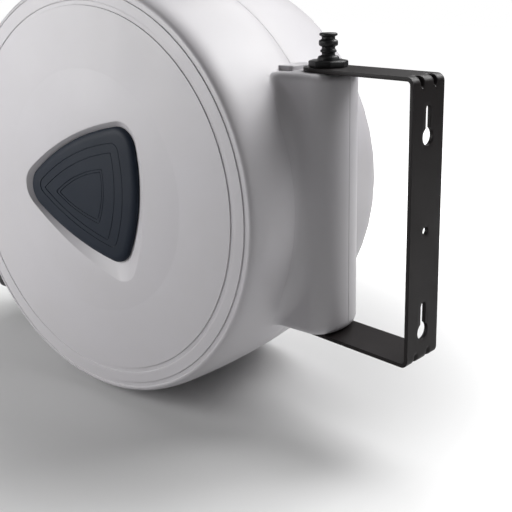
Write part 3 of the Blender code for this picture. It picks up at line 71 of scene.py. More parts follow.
# %% Pivot and drum
joints = {joint["name"]: joint for joint in frame["joints"]}
PIVOT = Vector(joints["swivel"]["pos_m"])
DRUM_CENTRE = Vector(joints["drum_spin"]["pos_m"])
AXLE = Vector(joints["drum_spin"]["axis"])
FORWARD = (PIVOT - DRUM_CENTRE).normalized()
DRUM_OFFSET = (PIVOT - DRUM_CENTRE).length
TURN = Matrix((FORWARD, AXLE, Vector((0, 0, 1)))).transposed().to_4x4()
REEL = Matrix.Translation(PIVOT) @ TURN
DRUM = Matrix.Translation(DRUM_CENTRE) @ TURN
print("pivot", tuple(PIVOT), "drum", tuple(DRUM_CENTRE), "offset %.4f" % DRUM_OFFSET)

# %% [markdown]
# ## Camera
#
# The camera stands to the right of the drum, a little above it, and looks down at about 12 degrees.
# Its lens is long enough for the bracket's edges to stay nearly parallel. The picture's middle lies
# above the middle of the view, which the lens shift gives without tilting the uprights. A camera can
# be nudged by hand until the edges agree, but that never ends. These values were solved at once from
# the straight edges and the circles that can be seen, and are only written down here.

# %% Camera
CAMERA_PLACE = Vector((0.4119, -0.6342, 0.2274))
CAMERA_YAW = math.radians(43.353)
CAMERA_PITCH = math.radians(12.281)
CAMERA_ROLL = math.radians(-0.596)
SENSOR_WIDTH = 36
LENS_LENGTH = 58.12
LENS_SHIFT = (-0.0470, -0.1935)


def camera_directions(yaw, pitch, roll):
    """Right, up and back of a camera, from its heading, its tilt down and its roll."""
    back = Vector((math.sin(yaw) * math.cos(pitch), -math.cos(yaw) * math.cos(pitch), math.sin(pitch)))
    level = Vector((math.cos(yaw), math.sin(yaw), 0))
    rise = back.cross(level)
    right = level * math.cos(roll) + rise * math.sin(roll)
    up = rise * math.cos(roll) - level * math.sin(roll)
    return right, up, back


lens = bpy.data.cameras.new("camera")
lens.sensor_width = SENSOR_WIDTH
lens.lens = LENS_LENGTH
lens.shift_x, lens.shift_y = LENS_SHIFT
camera = bpy.data.objects.new("camera", lens)
bpy.context.scene.collection.objects.link(camera)
axes = Matrix(camera_directions(CAMERA_YAW, CAMERA_PITCH, CAMERA_ROLL)).transposed()
camera.matrix_world = Matrix.Translation(CAMERA_PLACE) @ axes.to_4x4()
bpy.context.scene.camera = camera
print("camera at", tuple(CAMERA_PLACE), "with a lens of", LENS_LENGTH, "mm")

# %% [markdown]
# ## Floor, room and light
#
# The drum stands on a white floor that takes its shadow. The room is white where the camera looks
# straight at it, and dim for the light it gives, which a Light Path node chooses. Near the drum the
# floor is plain paper. Further out it also glows, for the camera only, so that it fades into the
# white room and only the shadow stays.

# %% Floor and room
FLOOR_GAP = 0.001
FLOOR_SIZE = 12.0
FLOOR_FADE = (0.2, 0.7)
PAPER_WHITE = 0.7
ROOM_LIGHT = 0.05
bpy.context.scene.view_settings.view_transform = "Standard"


def new_material(name):
    """Material with an empty node tree."""
    material = bpy.data.materials.new(name)
    material.use_nodes = True
    material.node_tree.nodes.clear()
    return material


def node(tree, kind, spot=(0, 0), **settings):
    """A new node with its settings; a setting that is a socket's name sets that socket."""
    made = tree.nodes.new(kind)
    made.location = spot
    for key, value in settings.items():
        if hasattr(made, key):
            setattr(made, key, value)
        else:
            made.inputs[key.replace("_", " ")].default_value = value
    return made


def seen_directly(tree, spot):
    """1 for rays that come straight from the camera."""
    return node(tree, "ShaderNodeLightPath", spot).outputs["Is Camera Ray"]


world = bpy.data.worlds.new("room")
world.use_nodes = True
bpy.context.scene.world = world
tree = world.node_tree
tree.nodes.clear()
room_light = node(tree, "ShaderNodeBackground", (0, 100), Color=(1, 1, 1, 1), Strength=ROOM_LIGHT)
room_white = node(tree, "ShaderNodeBackground", (0, -60), Color=(1, 1, 1, 1), Strength=1.0)
choose = node(tree, "ShaderNodeMixShader", (240, 40))
room_out = node(tree, "ShaderNodeOutputWorld", (440, 40))
tree.links.new(seen_directly(tree, (-200, 240)), choose.inputs[0])
tree.links.new(room_light.outputs[0], choose.inputs[1])
tree.links.new(room_white.outputs[0], choose.inputs[2])
tree.links.new(choose.outputs[0], room_out.inputs[0])


def floor_material(middle):
    """Paper that fades to pure white away from a middle point, for the camera only."""
    material = new_material("floor_white")
    tree = material.node_tree
    where = node(tree, "ShaderNodeTexCoord", (-1000, 0))
    distance = node(tree, "ShaderNodeVectorMath", (-800, 0), operation="DISTANCE")
    distance.inputs[1].default_value = middle
    fade = node(tree, "ShaderNodeMapRange", (-600, 0), interpolation_type="SMOOTHSTEP",
                From_Min=FLOOR_FADE[0], From_Max=FLOOR_FADE[1])
    gate = node(tree, "ShaderNodeMath", (-400, 0), operation="MULTIPLY")
    glow = node(tree, "ShaderNodeEmission", (-200, -100), Color=(1, 1, 1, 1))
    paper = node(tree, "ShaderNodeBsdfDiffuse", (-200, 100),
                 Color=(PAPER_WHITE, PAPER_WHITE, PAPER_WHITE, 1))
    both = node(tree, "ShaderNodeAddShader", (0, 0))
    out = node(tree, "ShaderNodeOutputMaterial", (200, 0))
    tree.links.new(where.outputs["Object"], distance.inputs[0])
    tree.links.new(distance.outputs["Value"], fade.inputs["Value"])
    tree.links.new(fade.outputs[0], gate.inputs[0])
    tree.links.new(seen_directly(tree, (-600, 200)), gate.inputs[1])
    tree.links.new(gate.outputs[0], glow.inputs["Strength"])
    tree.links.new(paper.outputs[0], both.inputs[0])
    tree.links.new(glow.outputs[0], both.inputs[1])
    tree.links.new(both.outputs[0], out.inputs[0])
    return material


floor_mesh = bpy.data.meshes.new("floor")
edge = FLOOR_SIZE / 2
level = CAD_BOX[0][2] - FLOOR_GAP
floor_corners = [(x * edge, y * edge, level) for x, y in ((-1, -1), (1, -1), (1, 1), (-1, 1))]
floor_mesh.from_pydata(floor_corners, [], [(0, 1, 2, 3)])
floor = bpy.data.objects.new("floor", floor_mesh)
bpy.context.scene.collection.objects.link(floor)
floor_mesh.materials.append(floor_material((DRUM_CENTRE.x, DRUM_CENTRE.y, level)))
print("floor at %.4f m" % level)

# %% [markdown]
# Seven soft square lamps light the reel. The low one on the left reaches the flat side from close by,
# so that side darkens towards its right. Four stand high behind the reel and brighten the barrel's
# top, the column and the floor. Weak ones in front and on the right fill the black steel. Each lamp
# was rendered alone first, and their powers were then solved for the brightness wanted at some
# thirty spots, which is quicker and closer than trying them one after another.

# %% Lamps
MIDDLE = DRUM_CENTRE.lerp(PIVOT, 0.5)
LAMPS = (
    ("left", (-0.9, -0.9, 0.2), (-0.38, -0.12, 0.0), 0.6, 6.8),
    ("front", (-0.55, -0.75, 0.75), (-0.42, -0.12, 0.1), 0.5, 0.7),
    ("back_right", (0.3, 1.0, 1.1), MIDDLE, 0.8, 17),
    ("back_left", (-0.4, 0.9, 1.2), (-0.3, 0, 0.1), 0.8, 9.2),
    ("back_top", (0.7, 0.9, 1.3), MIDDLE, 0.8, 2.3),
    ("back_near", (0.1, 1.1, 0.7), MIDDLE, 0.6, 1.5),
    ("right", (1.2, 0.2, 0.3), (-0.1, 0, 0), 0.8, 1.9),
)


def lamp(name, stand, target, size, power):
    """Square soft light that faces a target."""
    light = bpy.data.lights.new(name, "AREA")
    light.size = size
    light.energy = power
    holder = bpy.data.objects.new(name, light)
    bpy.context.scene.collection.objects.link(holder)
    holder.location = stand
    holder.rotation_euler = (Vector(stand) - Vector(target)).to_track_quat("Z", "Y").to_euler()


for settings in LAMPS:
    lamp(*settings)
print("lamps:", [settings[0] for settings in LAMPS])

# %% [markdown]
# ## Finishes
#
# Moulded plastic, powder coat and metal differ most in what a fingertip would feel: a fine even
# grain, an orange-peel skin, or next to nothing. Two effects serve all of them, so they are node
# groups that are built once: "fine grain" gives a height for a Bump node, and "cloudy" gives the
# slow change of gloss that handling leaves. Pictures of a surface would do as well, but they need UV
# maps, and nodes on object coordinates keep their real size on every piece.

# %% Shared effects


def new_group(name, inputs, outputs):
    """Node group with named float inputs and outputs."""
    group = bpy.data.node_groups.new(name, "ShaderNodeTree")
    for label, value in inputs:
        socket = group.interface.new_socket(label, in_out="INPUT", socket_type="NodeSocketFloat")
        socket.default_value = value
    for label in outputs:
        group.interface.new_socket(label, in_out="OUTPUT", socket_type="NodeSocketFloat")
    source = node(group, "NodeGroupInput", (-800, 0))
    sink = node(group, "NodeGroupOutput", (600, 0))
    return group, source, sink


def fine_grain_group():
    """Even grain of a spark-eroded mould, or the orange peel of a baked coat."""
    group, source, sink = new_group("fine_grain", [("Scale", 900.0), ("Softness", 0.5)], ["Height"])
    where = node(group, "ShaderNodeTexCoord", (-800, -200))
    pores = node(group, "ShaderNodeTexVoronoi", (-400, 100), feature="SMOOTH_F1")
    blur = node(group, "ShaderNodeTexNoise", (-400, -200), Detail=3.0, Roughness=0.6)
    mix = node(group, "ShaderNodeMix", (0, 0), data_type="FLOAT")
    group.links.new(where.outputs["Object"], pores.inputs["Vector"])
    group.links.new(where.outputs["Object"], blur.inputs["Vector"])
    group.links.new(source.outputs["Scale"], pores.inputs["Scale"])
    group.links.new(source.outputs["Scale"], blur.inputs["Scale"])
    group.links.new(source.outputs["Softness"], mix.inputs[0])
    group.links.new(pores.outputs["Distance"], mix.inputs[2])
    group.links.new(blur.outputs[0], mix.inputs[3])
    group.links.new(mix.outputs[0], sink.inputs["Height"])
    return group


def cloudy_group():
    """Slow uneven change between two values, as handling and moulding leave."""
    group, source, sink = new_group("cloudy", [("Scale", 9.0), ("Low", 0.0), ("High", 1.0)], ["Value"])
    where = node(group, "ShaderNodeTexCoord", (-800, -200))
    cloud = node(group, "ShaderNodeTexNoise", (-400, 0), Detail=4.0, Roughness=0.55)
    spread = node(group, "ShaderNodeMapRange", (0, 0), From_Min=0.3, From_Max=0.7)
    group.links.new(where.outputs["Object"], cloud.inputs["Vector"])
    group.links.new(source.outputs["Scale"], cloud.inputs["Scale"])
    group.links.new(cloud.outputs[0], spread.inputs["Value"])
    group.links.new(source.outputs["Low"], spread.inputs["To Min"])
    group.links.new(source.outputs["High"], spread.inputs["To Max"])
    group.links.new(spread.outputs[0], sink.inputs["Value"])
    return group


FINE_GRAIN = fine_grain_group()
CLOUDY = cloudy_group()
print("shared effects:", FINE_GRAIN.name, CLOUDY.name)

# %% [markdown]
# Each finish then sets its own colour, gloss and grain. The colour drifts a little between two near
# tones, so that no surface is one flat value, and the grain's depth is given in metres.

# %% Finishes


def use_group(tree, group, spot, **values):
    """A shared effect placed in a material, with its own values."""
    made = node(tree, "ShaderNodeGroup", spot, node_tree=group)
    for key, value in values.items():
        made.inputs[key].default_value = value
    return made


def finish(name, tone, other_tone, gloss, grain, depth, metallic=0.0, specular=0.5, patch=7.0):
    """Principled finish: two near tones, a range of roughness, and a grain of a real size and depth."""
    material = new_material(name)
    tree = material.node_tree
    skin = node(tree, "ShaderNodeBsdfPrincipled", (300, 0))
    skin.inputs["Metallic"].default_value = metallic
    skin.inputs["Specular IOR Level"].default_value = specular
    out = node(tree, "ShaderNodeOutputMaterial", (600, 0))
    drift = use_group(tree, CLOUDY, (-500, 200), Scale=patch)
    colour = node(tree, "ShaderNodeMix", (-200, 200), data_type="RGBA")
    colour.inputs[6].default_value = (*tone, 1)
    colour.inputs[7].default_value = (*other_tone, 1)
    rough = use_group(tree, CLOUDY, (-500, -50), Scale=2.3 * patch, Low=gloss[0], High=gloss[1])
    pores = use_group(tree, FINE_GRAIN, (-500, -300), Scale=1.0 / grain)
    bump = node(tree, "ShaderNodeBump", (0, -300), Distance=depth, Strength=1.0)
    tree.links.new(drift.outputs[0], colour.inputs[0])
    tree.links.new(colour.outputs[2], skin.inputs["Base Color"])
    tree.links.new(rough.outputs[0], skin.inputs["Roughness"])
    tree.links.new(pores.outputs[0], bump.inputs["Height"])
    tree.links.new(bump.outputs[0], skin.inputs["Normal"])
    tree.links.new(skin.outputs[0], out.inputs[0])
    return material


GREY_MOULDING = finish("grey_moulding", (0.625, 0.608, 0.638), (0.600, 0.583, 0.600), (0.36, 0.44),
                       grain=0.0006, depth=0.00002)
BADGE_BLUE = finish("badge_blue", (0.0115, 0.0175, 0.031), (0.0095, 0.015, 0.026), (0.46, 0.54),
                    grain=0.0005, depth=0.00002, specular=0.18)
BLACK_MOULDING = finish("black_moulding", (0.012, 0.012, 0.013), (0.016, 0.016, 0.017), (0.36, 0.46),
                        grain=0.0006, depth=0.00003)
POWDER_COAT = finish("powder_coat", (0.0095, 0.0068, 0.0072), (0.0120, 0.0090, 0.0092), (0.40, 0.50),
                     grain=0.0009, depth=0.00004, specular=0.26)
BEARING_WHITE = finish("bearing_white", (0.66, 0.64, 0.59), (0.60, 0.58, 0.53), (0.38, 0.48),
                       grain=0.0007, depth=0.00002)
ZINC = finish("zinc", (0.62, 0.62, 0.63), (0.52, 0.52, 0.55), (0.26, 0.40),
              grain=0.0012, depth=0.00002, metallic=1.0, patch=90.0)
BRASS = finish("brass", (0.62, 0.42, 0.17), (0.52, 0.34, 0.13), (0.24, 0.38),
               grain=0.0010, depth=0.00002, metallic=1.0, patch=60.0)
RUBBER = finish("rubber", (0.014, 0.014, 0.014), (0.020, 0.020, 0.020), (0.62, 0.78),
                grain=0.0004, depth=0.00003)
HOSE_SKIN = finish("hose_skin", (0.016, 0.018, 0.020), (0.022, 0.024, 0.027), (0.40, 0.52),
                   grain=0.0012, depth=0.00005)
print("finishes:", sorted(material.name for material in bpy.data.materials))

# %% [markdown]
# ## Shapes from outlines
#
# Nearly every piece is a stack of outlines with the same number of points, joined by strips of
# faces. Lathe work, plates, tubes and the drum's shell are all made by the one helper "skin".
# Guide shapes are then added or cut out by Booleans, which are applied at once.

# %% Helpers
SHARP_ANGLE = 30


def arc(centre, radius, start, end, steps):
    """Points along an arc, angles in degrees."""
    angles = [math.radians(start + (end - start) * i / steps) for i in range(steps + 1)]
    return [(centre[0] + radius * math.cos(a), centre[1] + radius * math.sin(a)) for a in angles]


def at_height(outline, axis, height):
    """A flat outline placed at a height along X, Y or Z."""
    if axis == "X":
        return [Vector((height, a, b)) for a, b in outline]
    if axis == "Y":
        return [Vector((a, height, b)) for a, b in outline]
    return [Vector((a, b, height)) for a, b in outline]


def skin(loops, closed=False):
    """Faces between loops that have the same number of points; the end loops are capped."""
    shape = bmesh.new()
    rows = [[shape.verts.new(point) for point in loop] for loop in loops]
    pairs = list(zip(rows, rows[1:]))
    if closed:
        pairs.append((rows[-1], rows[0]))
    for low, high in pairs:
        for i in range(len(low)):
            shape.faces.new((low[i - 1], low[i], high[i], high[i - 1]))
    if not closed:
        shape.faces.new(rows[0])
        shape.faces.new(rows[-1])
    bmesh.ops.recalc_face_normals(shape, faces=shape.faces)
    return shape


def turned(profile, axis, steps):
    """Profile of (radius, height) points spun round an axis."""
    angles = [math.tau * i / steps for i in range(steps)]
    ring = [(math.cos(a), math.sin(a)) for a in angles]
    solid = profile[0][0] == 0
    loops = [at_height([(r * c, r * s) for c, s in ring], axis, h) for r, h in profile if r > 0]
    return skin(loops, closed=not solid)


def resmooth(target, sharp):
    """Smooth shading, broken where faces meet at more than an angle in degrees."""
    target.data.shade_smooth()
    target.data.set_sharp_from_angle(angle=math.radians(sharp))


def place(name, shape, matrix, sharp=SHARP_ANGLE):
    """A new object from a finished bmesh, its place baked into its mesh."""
    mesh = bpy.data.meshes.new(name)
    shape.to_mesh(mesh)
    shape.free()
    mesh.transform(matrix)
    made = bpy.data.objects.new(name, mesh)
    bpy.context.scene.collection.objects.link(made)
    resmooth(made, sharp)
    return made


def combine(target, guide, operation):
    """Add a guide shape to a piece, or cut it out, and throw the guide away."""
    step = target.modifiers.new(operation, "BOOLEAN")
    step.operation = operation
    step.solver = "EXACT"
    step.object = guide
    bake(target)
    bpy.data.objects.remove(guide, do_unlink=True)


def bake(target):
    """Apply every modifier of a piece."""
    graph = bpy.context.evaluated_depsgraph_get()
    mesh = bpy.data.meshes.new_from_object(target.evaluated_get(graph))
    target.modifiers.clear()
    old = target.data
    target.data = mesh
    mesh.name = old.name
    bpy.data.meshes.remove(old)


def soften(target, width, segments, angle):
    """Small rounded edges wherever two faces meet at more than an angle in degrees."""
    step = target.modifiers.new("soft edges", "BEVEL")
    step.width = width
    step.segments = segments
    step.limit_method = "ANGLE"
    step.angle_limit = math.radians(angle)
    bake(target)


def dress(piece, material, body, slot, *nodes):
    """Give a piece its finish, let it ride on its body, and hide the nodes that it stands for."""
    piece.data.materials.clear()
    piece.data.materials.append(material)
    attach(piece, body)
    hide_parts(*nodes)
    count = sum(len(face.vertices) - 2 for face in piece.data.polygons)
    print("%s: %d triangles" % (piece.name, count))


# %% [markdown]
# ## Drum case
#
# The case is two moulded halves that meet on a seam round the middle. Each half is a shallow bowl:
# a barely bulging barrel, a rounded corner, and a flat side with two ring grooves. One profile
# serves both halves, and only the left one has a third ring that can just be seen. The left half's
# flat side dips into a three-cornered recess for the badge, and the right half's into a long pocket
# for the water inlet. The rings of the bowl match those outlines point for point, so the shell stays
# one even skin. A guard ring close to every edge keeps the shading of the flat side flat. Spinning a
# profile would be shorter, but a spin can't run into an outline that isn't round.

# %% Case sizes
CASE_RADIUS = 0.2368
SHOULDER_RADIUS = 0.232
SHOULDER_HALF_WIDTH = 0.092
CASE_HALF_WIDTH = 0.1141
FACE_RADIUS = 0.2238
CASE_WALL = 0.003
FIT = 0.0003
SEAM = 0.0003
SEAM_LAP = 0.004
SEAM_ROUND = 0.0006
FACE_INSIDE = CASE_HALF_WIDTH - CASE_WALL
FLAT_GUARD = 0.0022
GROOVE_RADII = (0.2012, 0.2178)
GROOVE_WIDTH = 0.0050
GROOVE_DEPTH = 0.0011
GROOVE_INNER = ((-FLAT_GUARD, 0.0), (-0.0002, 0.0), (0.0, 0.0002), (0.0001, GROOVE_DEPTH - 0.0002),
                (0.0003, GROOVE_DEPTH))
GROOVE_OUTER = ((-0.0005, GROOVE_DEPTH), (-0.0001, GROOVE_DEPTH - 0.0003), (0.0, 0.0006),
                (0.00018, 0.00018), (0.0006, 0.0), (FLAT_GUARD, 0.0))
FAINT_RADIUS = 0.135
FAINT_DEPTH = 0.00007
FAINT_RING = ((-0.0015, 0.0), (-0.0005, FAINT_DEPTH), (0.0005, FAINT_DEPTH), (0.0015, 0.0))
EDGE_STEPS = 12
BARREL_STEPS = 6


def shoulder_radius(y):
    """Radius of the bulging barrel at a distance from its middle."""
    return CASE_RADIUS - (CASE_RADIUS - SHOULDER_RADIUS) * (y / SHOULDER_HALF_WIDTH) ** 2


def edge_point(t):
    """Point (radius, y) on the curve from the barrel round to the flat side, t from 0 to 1."""
    slope = 2 * (CASE_RADIUS - SHOULDER_RADIUS) / SHOULDER_HALF_WIDTH
    reach = CASE_HALF_WIDTH - SHOULDER_HALF_WIDTH
    start = Vector((SHOULDER_RADIUS, SHOULDER_HALF_WIDTH))
    corner = Vector((SHOULDER_RADIUS - slope * reach, CASE_HALF_WIDTH))
    end = Vector((FACE_RADIUS, CASE_HALF_WIDTH))
    return start.lerp(corner, t).lerp(corner.lerp(end, t), t)


def on_flat(radius, steps):
    """Points of a dent in the flat side, given as (way out from a radius, depth)."""
    return [(radius + out, CASE_HALF_WIDTH - depth) for out, depth in steps]


def bowl_outside(faint_ring):
    """Half of the case from inside its ring grooves out to past the seam."""
    points = on_flat(FAINT_RADIUS, FAINT_RING) if faint_ring else []
    for radius in GROOVE_RADII:
        points += on_flat(radius, GROOVE_INNER) + on_flat(radius + GROOVE_WIDTH, GROOVE_OUTER)
    points = [point for point in points if point[0] < FACE_RADIUS - FIT]
    points += [tuple(edge_point(1 - i / EDGE_STEPS)) for i in range(EDGE_STEPS + 1)]
    rows = [SHOULDER_HALF_WIDTH * i / BARREL_STEPS for i in range(BARREL_STEPS - 1, 0, -1)]
    points += [(shoulder_radius(y), y) for y in rows]
    return points + [(CASE_RADIUS, -SEAM_LAP)]


print("case profile: %d points" % len(bowl_outside(True)))

# %% [markdown]
# The badge's outline, and the recess round it, are triangles with bulging sides and round corners.
# Each side is an arc, and each corner is an arc that starts and ends square to its two sides, so the
# outline has no kink and a highlight runs along it evenly.

# %% Three-cornered outline
SIDE_BULGES = (0.077, 0.061, 0.050)
BADGE_CORNERS = ((0.0320, -0.0509), (0.0445, 0.0509), (-0.0803, -0.0084))
BADGE_RADIUS = 0.0248
RECESS_CORNERS = ((0.0429, -0.0684), (0.0520, 0.0574), (-0.0862, -0.0069))
RECESS_RADIUS = 0.0253
RECESS_DEPTH = 0.007
RECESS_RIM = 0.0006
RECESS_WALL = ((-0.01, 0.00015), (0.04, 0.0006), (0.93, RECESS_DEPTH - 0.0004),
               (0.97, RECESS_DEPTH - 0.0001))
SIDE_STEPS = 40
CORNER_STEPS = 16


def three_sided(corners, radius):
    """Rounded outline round three corner points, with bulging sides."""
    points = [Vector(corner) for corner in corners]
    sides = []
    for start, end, bulge in zip(points, points[1:] + points[:1], SIDE_BULGES):
        chord = end - start
        half = chord.length / 2
        sagitta = bulge * chord.length
        swing = (half ** 2 + sagitta ** 2) / (2 * sagitta)
        outward = Vector((chord.y, -chord.x)).normalized()
        centre = (start + end) / 2 - outward * (swing - sagitta)
        first = math.degrees(math.atan2(start.y - centre.y, start.x - centre.x))
        last = first + math.degrees(2 * math.asin(half / swing))
        sides.append((centre, swing + radius, first, last, end))
    outline = []
    for (centre, reach, first, last, end), following in zip(sides, sides[1:] + sides[:1]):
        outline += arc(centre, reach, first, last, SIDE_STEPS)
        turn = (following[2] - last) % 360
        outline += arc(end, radius, last, last + turn, CORNER_STEPS)[1:-1]
    return outline


print("badge outline: %d points" % len(three_sided(BADGE_CORNERS, BADGE_RADIUS)))

# %% [markdown]
# The pocket for the inlet on the other side is a slot with round ends, deep enough for the elbow
# to sit inside the case's outline. Both dips are lists of (outline, depth) pairs that the bowl's
# rings run into.

# %% Dips in the flat sides
POCKET_RADIUS = 0.024
POCKET_LENGTH = 0.105
POCKET_FLOOR = 0.0885
POCKET_STEPS = 32
POCKET_RIM = ((FLAT_GUARD, 0.0), (0.0009, 0.0), (0.0003, 0.0003), (0.0, 0.0010))
POCKET_FOOT = ((0.0, 0.0015), (0.0005, 0.0004), (0.0015, 0.0))


def pocket_outline(radius):
    """Slot with round ends, from the drum's middle straight down."""
    shares = [i / POCKET_STEPS for i in range(1, POCKET_STEPS)]
    outline = arc((0, 0), radius, 0, 180, POCKET_STEPS)
    outline += [(-radius, -POCKET_LENGTH * share) for share in shares]
    outline += arc((0, -POCKET_LENGTH), radius, 180, 360, POCKET_STEPS)
    outline += [(radius, -POCKET_LENGTH * (1 - share)) for share in shares]
    return outline


def between(outline, other, share):
    """Outline part of the way from one outline to another with as many points."""
    return [tuple(Vector(start).lerp(Vector(end), share)) for start, end in zip(outline, other)]


def recess_dip():
    """Soft rim, sloping wall and flat floor of the badge's recess."""
    rim = three_sided(RECESS_CORNERS, RECESS_RADIUS)
    floor = three_sided(BADGE_CORNERS, BADGE_RADIUS + FIT)
    dip = []
    for out in (FLAT_GUARD, RECESS_RIM):
        dip.append((three_sided(RECESS_CORNERS, RECESS_RADIUS + out), CASE_HALF_WIDTH))
    for share, depth in RECESS_WALL:
        dip.append((between(rim, floor, share), CASE_HALF_WIDTH - depth))
    return dip + [(floor, CASE_HALF_WIDTH - RECESS_DEPTH)]


def pocket_dip():
    """Rounded rim, straight wall and flat floor of the inlet's pocket."""
    rings = [(POCKET_RADIUS + out, CASE_HALF_WIDTH - depth) for out, depth in POCKET_RIM]
    rings += [(POCKET_RADIUS - inset, POCKET_FLOOR + up) for inset, up in POCKET_FOOT]
    return [(pocket_outline(radius), y) for radius, y in rings]


def bowl(dip, wall_dip, middle, faint_ring):
    """Shell of one half: dip, flat side, barrel, then back along the inside."""
    angles = [math.atan2(z - middle[1], x - middle[0]) for x, z in dip[0][0]]
    inside = [(CASE_RADIUS - CASE_WALL, -SEAM_LAP), (SHOULDER_RADIUS - CASE_WALL, SHOULDER_HALF_WIDTH),
              (FACE_RADIUS - CASE_WALL, FACE_INSIDE)]
    loops = [at_height(outline, "Y", y) for outline, y in reversed(dip)]
    for radius, y in bowl_outside(faint_ring) + inside:
        loops.append([Vector((radius * math.cos(a), y, radius * math.sin(a))) for a in angles])
    loops += [at_height(outline, "Y", y) for outline, y in wall_dip]
    return skin(loops)


# %% [markdown]
# The swivel column grows out of the barrel's back. It is a tall block with an oval front, rounded
# top and bottom edges, and flanks that sweep into the barrel. The sweep is what the eye sees first,
# so it is part of the column's own surface: the outline at each height ends in nearly a quarter circle
# that runs out along the barrel, and the union then has no hard corner. A Bevel on the joint would
# have one width all along, and the real sweep gets smaller towards both ends.

# %% Swivel column
COLUMN_TOP = 0.1352
COLUMN_FRONT = 0.0256
COLUMN_HALF_WIDTH = 0.0388
COLUMN_EDGE_RADIUS = 0.0085
COLUMN_FILLET = 0.018
COLUMN_END_FILLET = 0.008
COLUMN_FILLET_FADE = (0.085, 0.135)
COLUMN_ROOT_STEP = 0.0004
COLUMN_ROOT_GAPS = (-0.0012, -0.012)
COLUMN_STEPS = 40
COLUMN_ROWS = 96
COLUMN_EDGE_STEPS = 8
SWEEP_ANGLE = 84
SWEEP_STEPS = 18
STOP_DISTANCE = 0.030
STOP_ROOT = -0.066
STOP_HALF_WIDTH = 0.021
STOP_HEIGHT = 0.005
STOP_CORNER = 0.004
STOP_EDGE = 0.0012
STOP_EDGE_STEPS = 4


def fillet_radius(z):
    """Radius of the sweep from the flank into the barrel, smaller near the column's two ends."""
    low, high = COLUMN_FILLET_FADE
    t = min(max((abs(z) - low) / (high - low), 0.0), 1.0)
    return COLUMN_FILLET + (COLUMN_END_FILLET - COLUMN_FILLET) * t * t * (3 - 2 * t)


def barrel_x(gap, y, z):
    """Where a point stands behind the pivot, to be this far off the barrel."""
    radius = shoulder_radius(min(y, SHOULDER_HALF_WIDTH)) + gap
    return math.sqrt(radius ** 2 - z ** 2) - DRUM_OFFSET


def flank_y(x):
    """Half width of the plain column: an oval front and straight flanks."""
    return COLUMN_HALF_WIDTH * math.sqrt(1 - (max(x, 0.0) / COLUMN_FRONT) ** 2)


def column_outline(z):
    """Half outline of the column at one height: oval front, straight flank, sweep and root."""
    fillet = fillet_radius(z)
    start = barrel_x(fillet, COLUMN_HALF_WIDTH, z)
    oval = math.acos(max(start, 0.0) / COLUMN_FRONT) * COLUMN_HALF_WIDTH
    length = oval + max(-start, 0.0)
    points = []
    for i in range(COLUMN_STEPS):
        run = length * i / COLUMN_STEPS
        x = COLUMN_FRONT * math.cos(run / COLUMN_HALF_WIDTH) if run < oval else oval - run
        points.append((x, flank_y(x)))
    for i in range(SWEEP_STEPS + 1):
        a = math.radians(SWEEP_ANGLE * i / SWEEP_STEPS)
        out = fillet * (1 - math.cos(a))
        x = barrel_x(fillet * (1 - math.sin(a)), COLUMN_HALF_WIDTH + out, z)
        points.append((x, flank_y(x) + out))
    y = points[-1][1] + COLUMN_ROOT_STEP
    points += [(barrel_x(gap, y, z), y) for gap in COLUMN_ROOT_GAPS]
    return [Vector(point) for point in points]


def drawn_in(points, inset):
    """The outline moved inwards by an even distance; its two root points follow the sweep's end."""
    moved = []
    last = len(points) - 3
    for i, point in enumerate(points):
        if i <= last:
            along = points[min(i + 1, last)] - points[max(i - 1, 0)]
            normal = Vector((along.y, -along.x)).normalized() if i else Vector((1, 0))
        moved.append(point - normal * inset)
    return moved


def column_levels():
    """Heights of the column's loops, each with how far the rounded edge draws in."""
    radius = COLUMN_EDGE_RADIUS
    straight = COLUMN_TOP - radius
    turns = [math.radians(90 * i / COLUMN_EDGE_STEPS) for i in range(1, COLUMN_EDGE_STEPS + 1)]
    edge = [(straight + radius * math.sin(a), radius * (1 - math.cos(a))) for a in turns]
    heights = [(straight * (2 * i / COLUMN_ROWS - 1), 0.0) for i in range(COLUMN_ROWS + 1)]
    return [(-z, inset) for z, inset in reversed(edge)] + heights + edge


def column_half():
    """Half of the column, from its own middle past the seam out to the root of its sweep."""
    loops = []
    for z, inset in column_levels():
        points = drawn_in(column_outline(z), inset)
        loops.append([Vector((points[0].x, -SEAM_LAP, z))] + [Vector((x, y, z)) for x, y in points]
                     + [Vector((points[-1].x, -SEAM_LAP, z))])
    return skin(loops)


print("column: %d levels of %d points" % (len(column_levels()), len(column_outline(0.0))))


def stop_half():
    """Half of the raised step that meets the arm's round end when the reel is turned too far."""
    outline = [(-STOP_DISTANCE, -SEAM_LAP)]
    outline += arc((-STOP_DISTANCE - STOP_CORNER, STOP_HALF_WIDTH - STOP_CORNER), STOP_CORNER, 0, 90, 8)
    outline += [(STOP_ROOT, STOP_HALF_WIDTH), (STOP_ROOT, -SEAM_LAP)]
    loops = [at_height(outline, "Z", COLUMN_TOP - 2 * COLUMN_EDGE_RADIUS)]
    for i in range(STOP_EDGE_STEPS + 1):
        a = math.radians(90 * i / STOP_EDGE_STEPS)
        inset = STOP_EDGE * (1 - math.cos(a))
        inner = [(min(x, -STOP_DISTANCE - inset), min(y, STOP_HALF_WIDTH - inset)) for x, y in outline]
        loops.append(at_height(inner, "Z", COLUMN_TOP + STOP_HEIGHT - STOP_EDGE * (1 - math.sin(a))))
    return skin(loops)


# %% [markdown]
# The hose comes out at the front through a square shroud with rounded corners, which ends in the
# black frame of the outlet.

# %% Outlet shroud
OUTLET_DROP = 0.132
OUTLET_WIDTH = 0.108
OUTLET_CORNER = 0.012
OUTLET_CORNER_STEPS = 8
OUTLET_WALL = 0.0035
SHROUD_REACH = 0.469985
SHROUD_ROOT = -0.0966
FRAME_REACH = 0.511385


